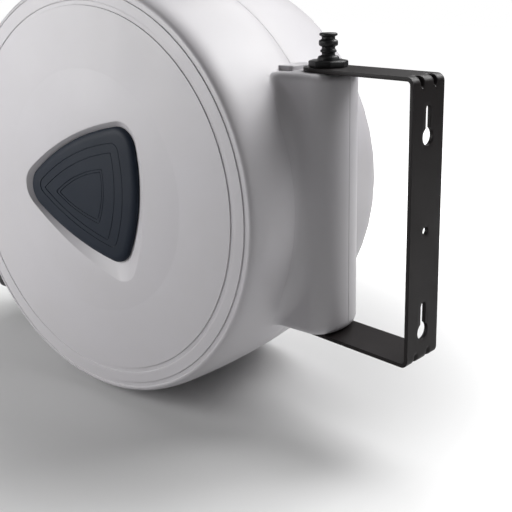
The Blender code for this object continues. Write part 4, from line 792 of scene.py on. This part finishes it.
def rounded_square(half, radius):
    """Square with round corners, at the outlet's height."""
    middle = half - radius
    outline = []
    for quarter, (y, z) in enumerate(((1, 1), (-1, 1), (-1, -1), (1, -1))):
        centre = (y * middle, z * middle - OUTLET_DROP)
        outline += arc(centre, radius, 90 * quarter, 90 * quarter + 90, OUTLET_CORNER_STEPS)
    return outline


def shroud_half():
    """The square's two corners on one side of the seam, run back into the barrel."""
    whole = rounded_square(OUTLET_WIDTH / 2, OUTLET_CORNER)
    corner = OUTLET_CORNER_STEPS + 1
    cut = [(-SEAM_LAP, whole[corner][1]), (-SEAM_LAP, whole[-corner - 1][1])]
    outline = whole[:corner] + cut + whole[-corner:]
    return skin([at_height(outline, "X", x) for x in (DRUM_OFFSET - SHROUD_REACH, SHROUD_ROOT)])


def box(low, high):
    """Box between two opposite corners."""
    outline = [(low[0], low[1]), (high[0], low[1]), (high[0], high[1]), (low[0], high[1])]
    return skin([at_height(outline, "Z", low[2]), at_height(outline, "Z", high[2])])


def cylinder(radius, low, high, axis, steps, centre=(0, 0)):
    """Round bar along an axis, between two heights."""
    outline = [(a + centre[0], b + centre[1]) for a, b in arc((0, 0), radius, 0, 360, steps)[:-1]]
    return skin([at_height(outline, axis, low), at_height(outline, axis, high)])


# %% [markdown]
# Each half is put together as a moulder would see it: shell, then column, stop and shroud with the
# part inside the shell carved away, then the bore for the pivot and the passage for the hose. Both
# halves reach past the seam first and are cut back by one box, which keeps the seam dead straight.
# The cut's outer edge is then rounded a little, because that catches the light along the seam.

# %% Build the halves
BORE_RADIUS = 0.0086
BUSH_POCKET_RADIUS = 0.0143
BUSH_POCKET_DEPTH = 0.0033
TUBE_WALL = 0.0055
STEM_HOLE_RADIUS = 0.0098
STEM_HOLE_FOOT = 0.07
SCREW_CIRCLE = 0.212
SCREW_ANGLES = (28, 80, 140, 185, 262, 325)
COUNTERBORE_RADIUS = 0.0041
CUT_REACH = 0.01
CUT_HALF_LENGTH = 0.3
CARVE_RADIUS = CASE_RADIUS - 0.8 * CASE_WALL
OUTSIDE_RADIUS = CASE_RADIUS - 0.0005
NEAR_BORE = BUSH_POCKET_RADIUS + 0.0002
NEAR_PASSAGE = OUTLET_WIDTH / 2 - 0.7 * OUTLET_WALL
SAME_POINT = 1e-6


def mirrored(shape, side):
    """The shape itself for the right half, and its mirror image for the left one."""
    if side < 0:
        bmesh.ops.scale(shape, vec=(1, -1, 1), verts=shape.verts)
        bmesh.ops.recalc_face_normals(shape, faces=shape.faces)
    return shape


def bore_guide():
    """The pivot's bore with a wider pocket at each end for its bush."""
    seat = COLUMN_TOP - BUSH_POCKET_DEPTH
    far = 2 * COLUMN_TOP
    profile = [(0, far), (BUSH_POCKET_RADIUS, far), (BUSH_POCKET_RADIUS, seat), (BORE_RADIUS, seat),
               (BORE_RADIUS, -seat), (BUSH_POCKET_RADIUS, -seat), (BUSH_POCKET_RADIUS, -far), (0, -far)]
    return turned(profile, "Z", 48)


def outer_seam_edges(shape):
    """Edges of the seam that show from outside."""
    found = []
    for edge in shape.edges:
        ends = [vert.co for vert in edge.verts]
        if any(abs(abs(p.y) - SEAM / 2) > SAME_POINT for p in ends):
            continue
        outside = all(math.hypot(p.x, p.z) > OUTSIDE_RADIUS for p in ends)
        in_bore = any(abs(p.x - DRUM_OFFSET) < NEAR_BORE for p in ends)
        in_passage = all(abs(p.z + OUTLET_DROP) < NEAR_PASSAGE and p.x < 0 for p in ends)
        if outside and not in_bore and not in_passage:
            found.append(edge)
    return found


def build_half(name, side, dip, wall_dip, middle):
    """One half of the case, still at the drum's own middle."""
    half = place(name, mirrored(bowl(dip, wall_dip, middle, side < 0), side), Matrix())
    to_pivot = Matrix.Translation((DRUM_OFFSET, 0, 0))
    column = place("column", mirrored(column_half(), side), to_pivot)
    combine(column, place("stop", mirrored(stop_half(), side), to_pivot), "UNION")
    shroud = place("shroud", mirrored(shroud_half(), side), Matrix())
    for solid in (column, shroud):
        guide = cylinder(CARVE_RADIUS, -CUT_HALF_LENGTH, CUT_HALF_LENGTH, "Y", 200)
        combine(solid, place("carve", guide, Matrix()), "DIFFERENCE")
        combine(half, solid, "UNION")
    end = COLUMN_TOP - 2 * COLUMN_EDGE_RADIUS
    tube = place("tube", cylinder(BORE_RADIUS + TUBE_WALL, -end, end, "Z", 40), to_pivot)
    combine(half, tube, "UNION")
    reach = 2 * CASE_RADIUS
    past = box((-reach, -CASE_HALF_WIDTH, -reach), (reach, SEAM / 2, reach))
    combine(half, place("past", mirrored(past, side), Matrix()), "DIFFERENCE")
    combine(half, place("bore", bore_guide(), to_pivot), "DIFFERENCE")
    hollow = rounded_square(OUTLET_WIDTH / 2 - OUTLET_WALL, OUTLET_CORNER - OUTLET_WALL)
    passage = skin([at_height(hollow, "X", x) for x in (DRUM_OFFSET - FRAME_REACH, SHROUD_ROOT)])
    combine(half, place("passage", passage, Matrix()), "DIFFERENCE")
    return half


def round_seam(half):
    """A small round along the seam's outer edge."""
    shape = bmesh.new()
    shape.from_mesh(half.data)
    bmesh.ops.remove_doubles(shape, verts=shape.verts, dist=SAME_POINT)
    edges = outer_seam_edges(shape)
    bmesh.ops.bevel(shape, geom=edges, offset=SEAM_ROUND, segments=2, profile=0.6, affect="EDGES")
    shape.to_mesh(half.data)
    shape.free()
    print("%s: %d seam edges rounded" % (half.name, len(edges)))


def finish_half(half):
    """Bring a half to its place in the room."""
    half.data.transform(DRUM)
    resmooth(half, 28)


wall_outline = three_sided(RECESS_CORNERS, RECESS_RADIUS + CASE_WALL)
recess_wall = [(wall_outline, FACE_INSIDE), (wall_outline, CASE_HALF_WIDTH - RECESS_DEPTH - CASE_WALL)]
left = build_half("shell_left", -1, recess_dip(), recess_wall, (0, 0))
round_seam(left)
finish_half(left)
dress(left, GREY_MOULDING, "reel_body", "case_grey", "case_left")

wall_outline = pocket_outline(POCKET_RADIUS + CASE_WALL)
pocket_wall = [(wall_outline, FACE_INSIDE), (wall_outline, POCKET_FLOOR - CASE_WALL)]
right = build_half("shell_right", 1, pocket_dip(), pocket_wall, (0, -POCKET_LENGTH / 2))
stem_hole = cylinder(STEM_HOLE_RADIUS, STEM_HOLE_FOOT, CASE_HALF_WIDTH, "Y", 48)
combine(right, place("stem", stem_hole, Matrix()), "DIFFERENCE")
screw_turns = [math.radians(angle) for angle in SCREW_ANGLES]
screw_spots = [(SCREW_CIRCLE * math.cos(a), SCREW_CIRCLE * math.sin(a)) for a in screw_turns]
for spot in screw_spots:
    hole = cylinder(COUNTERBORE_RADIUS, FACE_INSIDE - CUT_REACH, CASE_HALF_WIDTH + CUT_REACH,
                    "Y", 32, spot)
    combine(right, place("counterbore", hole, Matrix()), "DIFFERENCE")
round_seam(right)
finish_half(right)
dress(right, GREY_MOULDING, "reel_body", "case_grey", "case_right")

# %% [markdown]
# ## Outlet frame
#
# The black frame holds the four rollers that the hose runs between, and it stands a little proud of
# the shroud all round. It is one closed ring of rounded squares: up the skirt, round the lip, into
# the throat and back along the inside. Four bars with soft edges would leave joints in the corners,
# and one ring has none. Its throat is bored for the rollers' pins, whose places are measured from
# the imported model.

# %% Outlet frame
FRAME_HALF = 0.057
FRAME_CORNER = 0.008
FRAME_LIP = 0.007
FRAME_LIP_INSET = 0.0049
FRAME_LIP_STEPS = 6
THROAT_HALF = 0.033
MOUTH_RADIUS = 0.003
MOUTH_EDGE = 0.3 * MOUTH_RADIUS
PIN_HOLE_RADIUS = 0.0028
PIN_HOLE_HALF = THROAT_HALF + 0.007


def frame_lip(front):
    """Rounded edge between the skirt and the face, as (half size, depth, corner radius)."""
    lip = []
    for i in range(FRAME_LIP_STEPS + 1):
        a = math.radians(90 * i / FRAME_LIP_STEPS)
        share = 1 - math.cos(a)
        lip.append((FRAME_HALF - FRAME_LIP_INSET * share, front + FRAME_LIP * (1 - math.sin(a)),
                    FRAME_CORNER - OUTLET_WALL * share))
    return lip


def frame_profile():
    """Every square of the ring, as (half size, depth, corner radius)."""
    back, front = -SHROUD_REACH - FIT, -FRAME_REACH
    tail, outer, corner = back - MOUTH_RADIUS, THROAT_HALF + OUTLET_WALL, FRAME_CORNER - OUTLET_WALL
    mouth = [(THROAT_HALF + MOUTH_RADIUS, front, 2 * MOUTH_RADIUS),
             (THROAT_HALF + MOUTH_EDGE, front + MOUTH_EDGE, MOUTH_RADIUS + MOUTH_EDGE),
             (THROAT_HALF, front + MOUTH_RADIUS, MOUTH_RADIUS)]
    throat = [(THROAT_HALF, tail, MOUTH_RADIUS), (outer, tail, 2 * MOUTH_RADIUS),
              (outer, front + OUTLET_WALL + MOUTH_RADIUS, 2 * MOUTH_RADIUS)]
    inside = [(FRAME_HALF - OUTLET_WALL, front + OUTLET_WALL + FRAME_LIP, corner),
              (FRAME_HALF - OUTLET_WALL, back, corner)]
    return [(FRAME_HALF, back, FRAME_CORNER)] + frame_lip(front) + mouth + throat + inside


def middle_of(item):
    """Middle of a node's box, in the reel's own directions."""
    corners = [item.matrix_world @ Vector(corner) for corner in item.bound_box]
    return REEL.inverted() @ (sum(corners, Vector()) / len(corners))


loops = [at_height(rounded_square(half, radius), "X", x) for half, x, radius in frame_profile()]
outlet_frame = place("outlet_frame", skin(loops, closed=True), REEL)
for side, axis in (("top", "Y"), ("bottom", "Y"), ("left", "Z"), ("right", "Z")):
    middle = middle_of(frame["nodes"]["roller_pin_" + side])
    along, across = (0.0, middle.z) if axis == "Y" else (-OUTLET_DROP, middle.y)
    low, high = along - PIN_HOLE_HALF, along + PIN_HOLE_HALF
    bore = cylinder(PIN_HOLE_RADIUS, low, high, axis, 16, (middle.x, across))
    combine(outlet_frame, place("bore", bore, REEL), "DIFFERENCE")
resmooth(outlet_frame, 32)
dress(outlet_frame, BLACK_MOULDING, "reel_body", "black_plastic", "outlet_bezel")

# %% [markdown]
# ## Badge plate
#
# The badge is a thick plate with a broad rounded edge. Inside that edge its face steps down four
# times towards the middle, and each step lies in a fine sharp groove. The middle is left bare. A
# groove is a steep wall down, a floor and a slope up to the next terrace, so it is three more loops
# of the same kind of outline, each a little smaller. A bump in the material could draw these lines
# as well, but it wouldn't catch the light along the badge's rim as a real edge does.

# %% Badge
BADGE_THICKNESS = 0.0055
BADGE_EDGE_START = 0.25
BADGE_EDGE_STEPS = 8
BADGE_STEP = 0.0003
BADGE_LINE_WIDTH = 0.0010
BADGE_LINE = ((0.0, 0.0), (0.1, 0.0007), (0.75, 0.0008), (1.0, BADGE_STEP))
BROW_RADIUS = 0.0158
TERRACES = (
    (((0.0295, -0.0485), (0.0380, 0.0485), (-0.0770, -0.0050)), 0.010),
    (((0.0233, -0.0494), (0.0343, 0.0456), (-0.0765, -0.0070)), 0.002),
    (((0.0097, -0.0335), (0.0182, 0.0256), (-0.0565, -0.0088)), 0.002),
    (((0.0074, -0.0293), (0.0153, 0.0218), (-0.0505, -0.0086)), 0.002),
)


def badge_plate():
    """Flat back, broad rounded edge, and a face that steps down terrace by terrace."""
    back = -(CASE_HALF_WIDTH - RECESS_DEPTH + FIT)
    face = back - BADGE_THICKNESS
    edge = three_sided(BADGE_CORNERS, BADGE_RADIUS)
    brow = three_sided(BADGE_CORNERS, BROW_RADIUS)
    loops = [at_height(edge, "Y", back)]
    for i in range(BADGE_EDGE_STEPS + 1):
        a = math.radians(90 * i / BADGE_EDGE_STEPS)
        rise = BADGE_EDGE_START + (1 - BADGE_EDGE_START) * math.sin(a)
        ring = between(edge, brow, 1 - math.cos(a))
        loops.append(at_height(ring, "Y", back + (face - back) * rise))
    height = face
    for corners, radius in TERRACES:
        for share, depth in BADGE_LINE:
            ring = three_sided(corners, radius - share * BADGE_LINE_WIDTH)
            loops.append(at_height(ring, "Y", height + depth))
        height += BADGE_STEP
    return skin(loops)


badge = place("badge", badge_plate(), DRUM, sharp=25)
dress(badge, BADGE_BLUE, "reel_body", "badge_blue", "badge_plate")

# %% [markdown]
# ## Wall bracket
#
# The bracket is one steel strip, bent twice, with round ends on its arms and two pressed ribs in
# each bend. A flat sheet could be bent by Simple Deform, but the ribs change the bend's own shape.
# So it is a stack of side views across its width: the loops near a rib cut the bend's corner
# straight, and they ease back to the round bend on both sides. Extra rows beside the ribs and the
# holes keep long faces from carrying a tilted normal across the plate. Holes are cut last, and then
# every sharp edge is softened, because the baked coat rounds it.

# %% Bracket
STRIP_WIDTH = 0.050
STRIP_THICKNESS = 0.004
BRACKET_HEIGHT = 0.279
PIVOT_REACH = -PIVOT.x
BEND_RADIUS = 0.0075
RIB_LEG = 0.0115
RIB_OFFSET = 0.0105
RIB_WIDTH = 0.0078
RIB_GUARD = (0.0040, 0.0025)
PLATE_ROWS = (0.116, 0.0715, 0.0, -0.015, -0.0753, -0.1198)
BEND_STEPS = 12
RIB_COLUMNS = 12
SIDE_ANGLES = (42, 50, 58, 66, 73, 79, 84, 87.5, 90)
MIDDLE_COLUMN = 0.002
PIVOT_HOLE_RADIUS = 0.0065
KEYHOLE_RADIUS = 0.00875
KEYHOLE_SLOT_WIDTH = 0.0084
KEYHOLE_LENGTH = 0.0385
KEYHOLE_TOPS = (0.113, -0.0783)
CENTRE_HOLE_RADIUS = 0.0045
CENTRE_HOLE_DROP = 0.0075
COAT_ROUND = 0.0007


def rib_depth(y):
    """0 away from a pressed rib, 1 along its middle."""
    near = abs(abs(y) - RIB_OFFSET) / (RIB_WIDTH / 2)
    return 0.0 if near >= 1 else 0.5 + 0.5 * math.cos(math.pi * near)


def bend_path(depth, dent):
    """Side view of one bend at a depth in the strip, from the arm to the wall plate."""
    turn = BEND_RADIUS - depth
    round_bend = arc((-BEND_RADIUS, BRACKET_HEIGHT / 2 - BEND_RADIUS), turn, 90, 0, BEND_STEPS)
    top = BRACKET_HEIGHT / 2 - depth
    lead = -(RIB_LEG + BEND_RADIUS) / 2
    bend = [(-RIB_LEG, top), (lead, top)] + round_bend
    bend += [(-depth, BRACKET_HEIGHT / 2 + lead), (-depth, BRACKET_HEIGHT / 2 - RIB_LEG)]
    slip = depth * (math.sqrt(2) - 1) / 2
    first = Vector((-RIB_LEG - slip, top))
    last = Vector((-depth, BRACKET_HEIGHT / 2 - RIB_LEG - slip))
    path = []
    for i, point in enumerate(bend):
        straight = first.lerp(last, i / (len(bend) - 1))
        path.append(tuple(Vector(point).lerp(straight, dent)))
    before = [(-RIB_LEG - gap, top) for gap in RIB_GUARD]
    after = [(-depth, BRACKET_HEIGHT / 2 - RIB_LEG - gap) for gap in reversed(RIB_GUARD)]
    return before + path + after


def strip_loop(y):
    """Side view of the whole bracket at one place across the strip."""
    half = STRIP_WIDTH / 2
    tip = -PIVOT_REACH - math.sqrt(max(half ** 2 - y ** 2, 0.0))
    sides = []
    for depth in (0.0, STRIP_THICKNESS):
        path = [(tip, BRACKET_HEIGHT / 2 - depth), (-PIVOT_REACH + half, BRACKET_HEIGHT / 2 - depth)]
        path += bend_path(depth, rib_depth(y))
        path = path + [(-depth, z) for z in PLATE_ROWS] + [(x, -z) for x, z in reversed(path)]
        sides.append(path)
    return [Vector((x, y, z)) for x, z in sides[0] + list(reversed(sides[1]))]


def strip_columns():
    """Places across the strip for its side views: close together at the ribs and at the edges."""
    ribs = [RIB_OFFSET + RIB_WIDTH * (i / RIB_COLUMNS - 0.5) for i in range(RIB_COLUMNS + 1)]
    outer = [STRIP_WIDTH / 2 * math.sin(math.radians(a)) for a in SIDE_ANGLES]
    right = [MIDDLE_COLUMN] + ribs + [y for y in outer if y > ribs[-1] + FIT]
    return [-y for y in reversed(right)] + right


def keyhole(top):
    """Round hole with a narrow slot above it, from the slot's top down."""
    slot = KEYHOLE_SLOT_WIDTH / 2
    centre = top - KEYHOLE_LENGTH + KEYHOLE_RADIUS
    meet = math.degrees(math.asin(slot / KEYHOLE_RADIUS))
    outline = arc((0, top - slot), slot, 0, 180, 16)
    return outline + arc((0, centre), KEYHOLE_RADIUS, 90 + meet, 450 - meet, 40)


bracket = place("bracket_strip", skin([strip_loop(y) for y in strip_columns()]), Matrix())
holes = [keyhole(top) for top in KEYHOLE_TOPS]
holes.append(arc((0, -CENTRE_HOLE_DROP), CENTRE_HOLE_RADIUS, 0, 360, 40)[:-1])
for outline in holes:
    guide = skin([at_height(outline, "X", x) for x in (-2 * STRIP_THICKNESS, STRIP_THICKNESS)])
    combine(bracket, place("hole", guide, Matrix()), "DIFFERENCE")
pivot_hole = cylinder(PIVOT_HOLE_RADIUS, -BRACKET_HEIGHT, BRACKET_HEIGHT, "Z", 48)
combine(bracket, place("hole", pivot_hole, Matrix.Translation(PIVOT)), "DIFFERENCE")
soften(bracket, COAT_ROUND, 3, 50)
resmooth(bracket, 35)
dress(bracket, POWDER_COAT, "bracket", "powder_coat", "wall_bracket")

# %% [markdown]
# ## Pivot pin
#
# The pin lifts out by its moulded head: an eight-sided flange that rests on the arm, and a turned
# knob with grooves for the fingers. The knob is a lathe profile. The flange is an eight-sided prism
# with a chamfered edge, and both are joined so that the head stays one piece. The steel rod below it
# is a plain round bar, so it stays as it came.

# %% Pin head
PIN_RADIUS = 0.006
FLANGE_RADIUS = 0.0201
FLANGE_HEIGHT = 0.0066
FLANGE_FOOT_EDGE = 0.0006
FLANGE_TOP_EDGE = 0.0010
KNOB_FOOT = 0.004
KNOB_FOOT_RADIUS = 0.0113
KNOB_TOP = 0.0336
SOCKET_DEPTH = 0.0203
NECK_RADIUS = 0.0067
KNOB_PROFILE = (
    (0, KNOB_FOOT), (KNOB_FOOT_RADIUS, KNOB_FOOT), (KNOB_FOOT_RADIUS, 0.0064),
    (KNOB_FOOT_RADIUS, 0.0069), (0.0108, 0.0086), (0.0104, 0.0100), (0.0096, 0.0107), (0.0078, 0.0112),
    (NECK_RADIUS, 0.0118), (NECK_RADIUS, 0.0136), (0.0071, 0.0143), (0.0079, 0.0147), (0.0081, 0.0152),
    (0.0081, 0.0162), (0.0079, 0.0167), (0.0071, 0.0171), (NECK_RADIUS, 0.0178), (NECK_RADIUS, 0.0196),
    (0.0075, 0.0203), (0.0091, 0.0210), (0.0095, 0.0218), (0.0096, 0.0236), (0.0095, 0.0254),
    (0.0090, 0.0262), (0.0076, 0.0269), (NECK_RADIUS, 0.0276), (NECK_RADIUS, 0.0298), (0.0076, 0.0304),
    (0.0087, 0.0308), (0.0091, 0.0314), (0.0091, 0.0323), (0.0088, 0.0330), (0.0080, 0.0335),
    (0.0066, KNOB_TOP), (0, KNOB_TOP),
)


def eight_sided(radius):
    """Regular outline with eight corners."""
    return [(radius * math.cos(a), radius * math.sin(a)) for a in (math.tau * i / 8 for i in range(8))]


def pin_flange():
    """Eight-sided prism with its lower and upper edges drawn in."""
    levels = ((FLANGE_FOOT_EDGE, FIT), (0, FIT + FLANGE_FOOT_EDGE),
              (0, FLANGE_HEIGHT - FLANGE_TOP_EDGE), (FLANGE_TOP_EDGE, FLANGE_HEIGHT))
    return skin([at_height(eight_sided(FLANGE_RADIUS - inset), "Z", z) for inset, z in levels])


pin_place = Matrix.Translation((PIVOT.x, PIVOT.y, BRACKET_HEIGHT / 2))
pin = place("pin_knob", pin_flange(), pin_place)
soften(pin, FLANGE_FOOT_EDGE / 2, 2, 20)
combine(pin, place("knob", turned(KNOB_PROFILE, "Z", 72), pin_place), "UNION")
socket = cylinder(PIN_RADIUS + FIT, -FLANGE_HEIGHT, SOCKET_DEPTH, "Z", 32)
combine(pin, place("socket", socket, pin_place), "DIFFERENCE")
resmooth(pin, 32)
dress(pin, BLACK_MOULDING, "pivot_pin", "black_plastic", "pin_head")

# %% [markdown]
# ## Repeats by Geometry Nodes
#
# The wound hose and the case screws are the same thing many times over, so node trees repeat them.
# Both trees begin and end alike, so the first helpers make a tree, work out one sum in it, and
# finish it. The last one runs a tree over a few points and keeps the result as a plain mesh.

# %% Node tools


def node_tree(name, inputs):
    """Geometry node tree; each input is a name, a socket kind and a value or nothing."""
    tree = bpy.data.node_groups.new(name, "GeometryNodeTree")
    tree.interface.new_socket("Geometry", in_out="INPUT", socket_type="NodeSocketGeometry")
    for label, kind, value in inputs:
        socket = tree.interface.new_socket(label, in_out="INPUT", socket_type="NodeSocket" + kind)
        if value is not None:
            socket.default_value = value
    tree.interface.new_socket("Geometry", in_out="OUTPUT", socket_type="NodeSocketGeometry")
    return tree, node(tree, "NodeGroupInput", (-900, 0)), node(tree, "NodeGroupOutput", (900, 0))


def value_of(tree, operation, first, second):
    """Result of one sum; each side is a socket or a plain number."""
    sum_node = node(tree, "ShaderNodeMath", operation=operation)
    for i, side in enumerate((first, second)):
        if isinstance(side, bpy.types.NodeSocket):
            tree.links.new(side, sum_node.inputs[i])
        else:
            sum_node.inputs[i].default_value = side
    return sum_node.outputs[0]


def finish_tree(tree, source, made, sink):
    """Real geometry and the material, as the last steps of a tree."""
    steps = [node(tree, "GeometryNodeRealizeInstances"), node(tree, "GeometryNodeSetMaterial")]
    tree.links.new(made, steps[0].inputs["Geometry"])
    tree.links.new(steps[0].outputs[0], steps[1].inputs["Geometry"])
    tree.links.new(source.outputs["Material"], steps[1].inputs["Material"])
    tree.links.new(steps[1].outputs[0], sink.inputs[0])


def grown_by(name, points, tree, values):
    """Run a tree over a mesh of points and keep the result as a plain mesh."""
    mesh = bpy.data.meshes.new(name)
    mesh.from_pydata(points, [], [])
    made = bpy.data.objects.new(name, mesh)
    bpy.context.scene.collection.objects.link(made)
    step = made.modifiers.new(name, "NODES")
    step.node_group = tree
    for socket in tree.interface.items_tree:
        if socket.name in values:
            step[socket.identifier] = values[socket.name]
    bake(made)
    resmooth(made, SHARP_ANGLE)
    return made


# %% [markdown]
# A real hose lies on its drum in layers, and each turn sits in the valley between two turns below
# it. So every second layer has one turn fewer, and each layer is a little less than one hose
# thickness further out. A layer is a spiral curve that a circle is swept along, which takes a few
# nodes, where turns made one by one would need their ends joined. The inner three layers are one
# piece and the outer one is another, as in the frame.

# %% Wound hose
CORE_RADIUS = 0.095
HOSE_DIAMETER = 0.016
HOSE_PITCH = 0.0168
HOSE_NESTING = 0.0006
HOSE_LAYERS = 4
HOSE_TURNS = 6
HOSE_START = math.radians(264)
HOSE_RISE = HOSE_DIAMETER - HOSE_NESTING
HOSE_SIDES = 20
HOSE_TURN_STEPS = 72
INNER_LAYER_RADIUS = CORE_RADIUS + FIT + HOSE_DIAMETER / 2
OUTER_LAYER_RADIUS = INNER_LAYER_RADIUS + FIT + HOSE_DIAMETER + (HOSE_LAYERS - 2) * HOSE_RISE


def hose_tree(name, layers):
    """Tree with one swept spiral for each layer, given as (radius, turns)."""
    tree, source, sink = node_tree(name, [("Hose Diameter", "Float", 0.01), ("Pitch", "Float", 0.01),
                                          ("Start Angle", "Float", 0.0), ("Material", "Material", None)])
    circle = node(tree, "GeometryNodeCurvePrimitiveCircle", (-300, -300), Resolution=HOSE_SIDES)
    thick = value_of(tree, "DIVIDE", source.outputs["Hose Diameter"], 2.0)
    tree.links.new(thick, circle.inputs["Radius"])
    turn = node(tree, "ShaderNodeCombineXYZ", (-300, -500), X=-math.pi / 2)
    tree.links.new(source.outputs["Start Angle"], turn.inputs["Y"])
    join = node(tree, "GeometryNodeJoinGeometry", (300, 0))
    for radius, turns in layers:
        width = value_of(tree, "MULTIPLY", source.outputs["Pitch"], float(turns))
        spiral = node(tree, "GeometryNodeCurveSpiral", (-300, 0), Resolution=HOSE_TURN_STEPS,
                      Rotations=float(turns), Start_Radius=radius, End_Radius=radius, Reverse=True)
        tree.links.new(width, spiral.inputs["Height"])
        middle = value_of(tree, "MULTIPLY", width, -0.5)
        centre = node(tree, "ShaderNodeCombineXYZ", (-100, -100))
        tree.links.new(middle, centre.inputs["Z"])
        slide = node(tree, "GeometryNodeTransform", (0, 0))
        tree.links.new(spiral.outputs[0], slide.inputs["Geometry"])
        tree.links.new(centre.outputs[0], slide.inputs["Translation"])
        sweep = node(tree, "GeometryNodeCurveToMesh", (150, 0), Fill_Caps=True)
        tree.links.new(slide.outputs[0], sweep.inputs["Curve"])
        tree.links.new(circle.outputs[0], sweep.inputs["Profile Curve"])
        tree.links.new(sweep.outputs[0], join.inputs[0])
    lay = node(tree, "GeometryNodeTransform", (450, 0))
    tree.links.new(join.outputs[0], lay.inputs["Geometry"])
    tree.links.new(turn.outputs[0], lay.inputs["Rotation"])
    finish_tree(tree, source, lay.outputs[0], sink)
    return tree


def wound_hose(name, layers, node_name):
    """One piece of hose on the drum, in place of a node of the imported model."""
    values = {"Hose Diameter": HOSE_DIAMETER, "Pitch": HOSE_PITCH, "Start Angle": -HOSE_START,
              "Material": HOSE_SKIN}
    hose = grown_by(name, [(0, 0, 0)], hose_tree(name, layers), values)
    hose.data.transform(DRUM)
    dress(hose, HOSE_SKIN, "hose_drum", "hose_skin", node_name)


inner = [(INNER_LAYER_RADIUS + i * HOSE_RISE, HOSE_TURNS - i % 2) for i in range(HOSE_LAYERS - 1)]
wound_hose("hose_inner", inner, "hose_inner_layers")
wound_hose("hose_outer", [(OUTER_LAYER_RADIUS, HOSE_TURNS)], "hose_outer_layer")

# %% [markdown]
# The six case screws are alike: one is turned on the lathe, gets its cross-shaped drive, and is
# repeated on six points. Hand-driven screws never end up at the same angle, so the tree turns each
# one a little further than the last.

# %% Case screws
SCREW_RADIUS = 0.002
SCREW_HEAD_RADIUS = 0.0038
SCREW_HEAD_HEIGHT = 0.003
SCREW_LENGTH = CASE_HALF_WIDTH + 0.0109
SCREW_HEAD = CASE_HALF_WIDTH - 2 * SCREW_HEAD_HEIGHT + FIT
SCREW_PROFILE = (
    (0, -SCREW_LENGTH), (SCREW_RADIUS, SCREW_RADIUS - SCREW_LENGTH), (SCREW_RADIUS, 0),
    (SCREW_HEAD_RADIUS, 0), (SCREW_HEAD_RADIUS, 0.0014), (0.0036, 0.0020), (0.0031, 0.0025),
    (0.0023, 0.0029), (0.0012, SCREW_HEAD_HEIGHT), (0, SCREW_HEAD_HEIGHT),
)
SCREW_TURN = 1.1
DRIVE_FLOOR = 0.0012
DRIVE_SLITS = ((0.0021, 0.00045), (0.00046, 0.0022))


def one_screw():
    """One screw with its head's underside at its place in the case."""
    at_head = Matrix.Translation((0, SCREW_HEAD, 0))
    screw = place("screw", turned(SCREW_PROFILE, "Y", 32), at_head)
    for x, z in DRIVE_SLITS:
        slit = box((-x, DRIVE_FLOOR, -z), (x, 2 * SCREW_HEAD_HEIGHT, z))
        combine(screw, place("slit", slit, at_head), "DIFFERENCE")
    return screw


def screw_tree():
    """Tree that puts a copy of the screw on every point, each turned by one more step."""
    inputs = [("Screw", "Object", None), ("Step", "Float", SCREW_TURN), ("Material", "Material", None)]
    tree, source, sink = node_tree("case_screws", inputs)
    shape = node(tree, "GeometryNodeObjectInfo", (-300, -200))
    number = node(tree, "GeometryNodeInputIndex", (-500, -400))
    turn = node(tree, "ShaderNodeCombineXYZ", (-100, -400))
    repeat = node(tree, "GeometryNodeInstanceOnPoints", (100, 0))
    angle = value_of(tree, "MULTIPLY", number.outputs[0], source.outputs["Step"])
    tree.links.new(source.outputs["Screw"], shape.inputs["Object"])
    tree.links.new(angle, turn.inputs["Y"])
    tree.links.new(source.outputs["Geometry"], repeat.inputs["Points"])
    tree.links.new(shape.outputs["Geometry"], repeat.inputs["Instance"])
    tree.links.new(turn.outputs[0], repeat.inputs["Rotation"])
    finish_tree(tree, source, repeat.outputs[0], sink)
    return tree


pattern = one_screw()
spots = [(x, 0.0, z) for x, z in screw_spots]
values = {"Screw": pattern, "Step": SCREW_TURN, "Material": ZINC}
screws = grown_by("screws", spots, screw_tree(), values)
bpy.data.objects.remove(pattern, do_unlink=True)
screws.data.transform(DRUM)
screw_nodes = ["case_screw_%d" % (i + 1) for i in range(len(SCREW_ANGLES))]
dress(screws, ZINC, "reel_body", "zinc_steel", *screw_nodes)

# %% [markdown]
# ## The nodes that stay
#
# The pieces inside the case, and the small turned parts, are right as they came. They keep their
# meshes and only get a finish, chosen by what each one is made of.

# %% Finishes for the CAD nodes
SIDES = ("top", "bottom", "left", "right")
NODES_BY_FINISH = (
    (ZINC, ["pivot_rod", "pivot_sleeve", "spring_arbor", "pawl_pin", "guide_rod", "main_spring",
            "cross_screw"] + ["roller_pin_" + side for side in SIDES]),
    (BEARING_WHITE, ["bush_top", "bush_bottom", "drum_bush", "screw_bush_left", "screw_bush_right",
                     "arbor_bush", "drum_core", "flange_left", "flange_right"]),
    (BLACK_MOULDING, ["carry_handle", "inlet_connector", "spring_housing", "spring_cover",
                      "screw_pulley", "guide_carriage", "lock_pawl"]
     + ["roller_" + side for side in SIDES]),
    (BRASS, ["inlet_elbow", "hub_elbow"]),
    (RUBBER, ["inlet_seal", "drive_belt"]),
)

finished = set()
for material, names in NODES_BY_FINISH:
    for name in names:
        mesh = frame["nodes"][name].data
        mesh.materials.clear()
        mesh.materials.append(material)
    finished.update(names)
left_over = [name for name, item in frame["nodes"].items()
             if name not in finished and not item.hide_render]
print("%d nodes with a finish, and without one:" % len(finished), left_over)
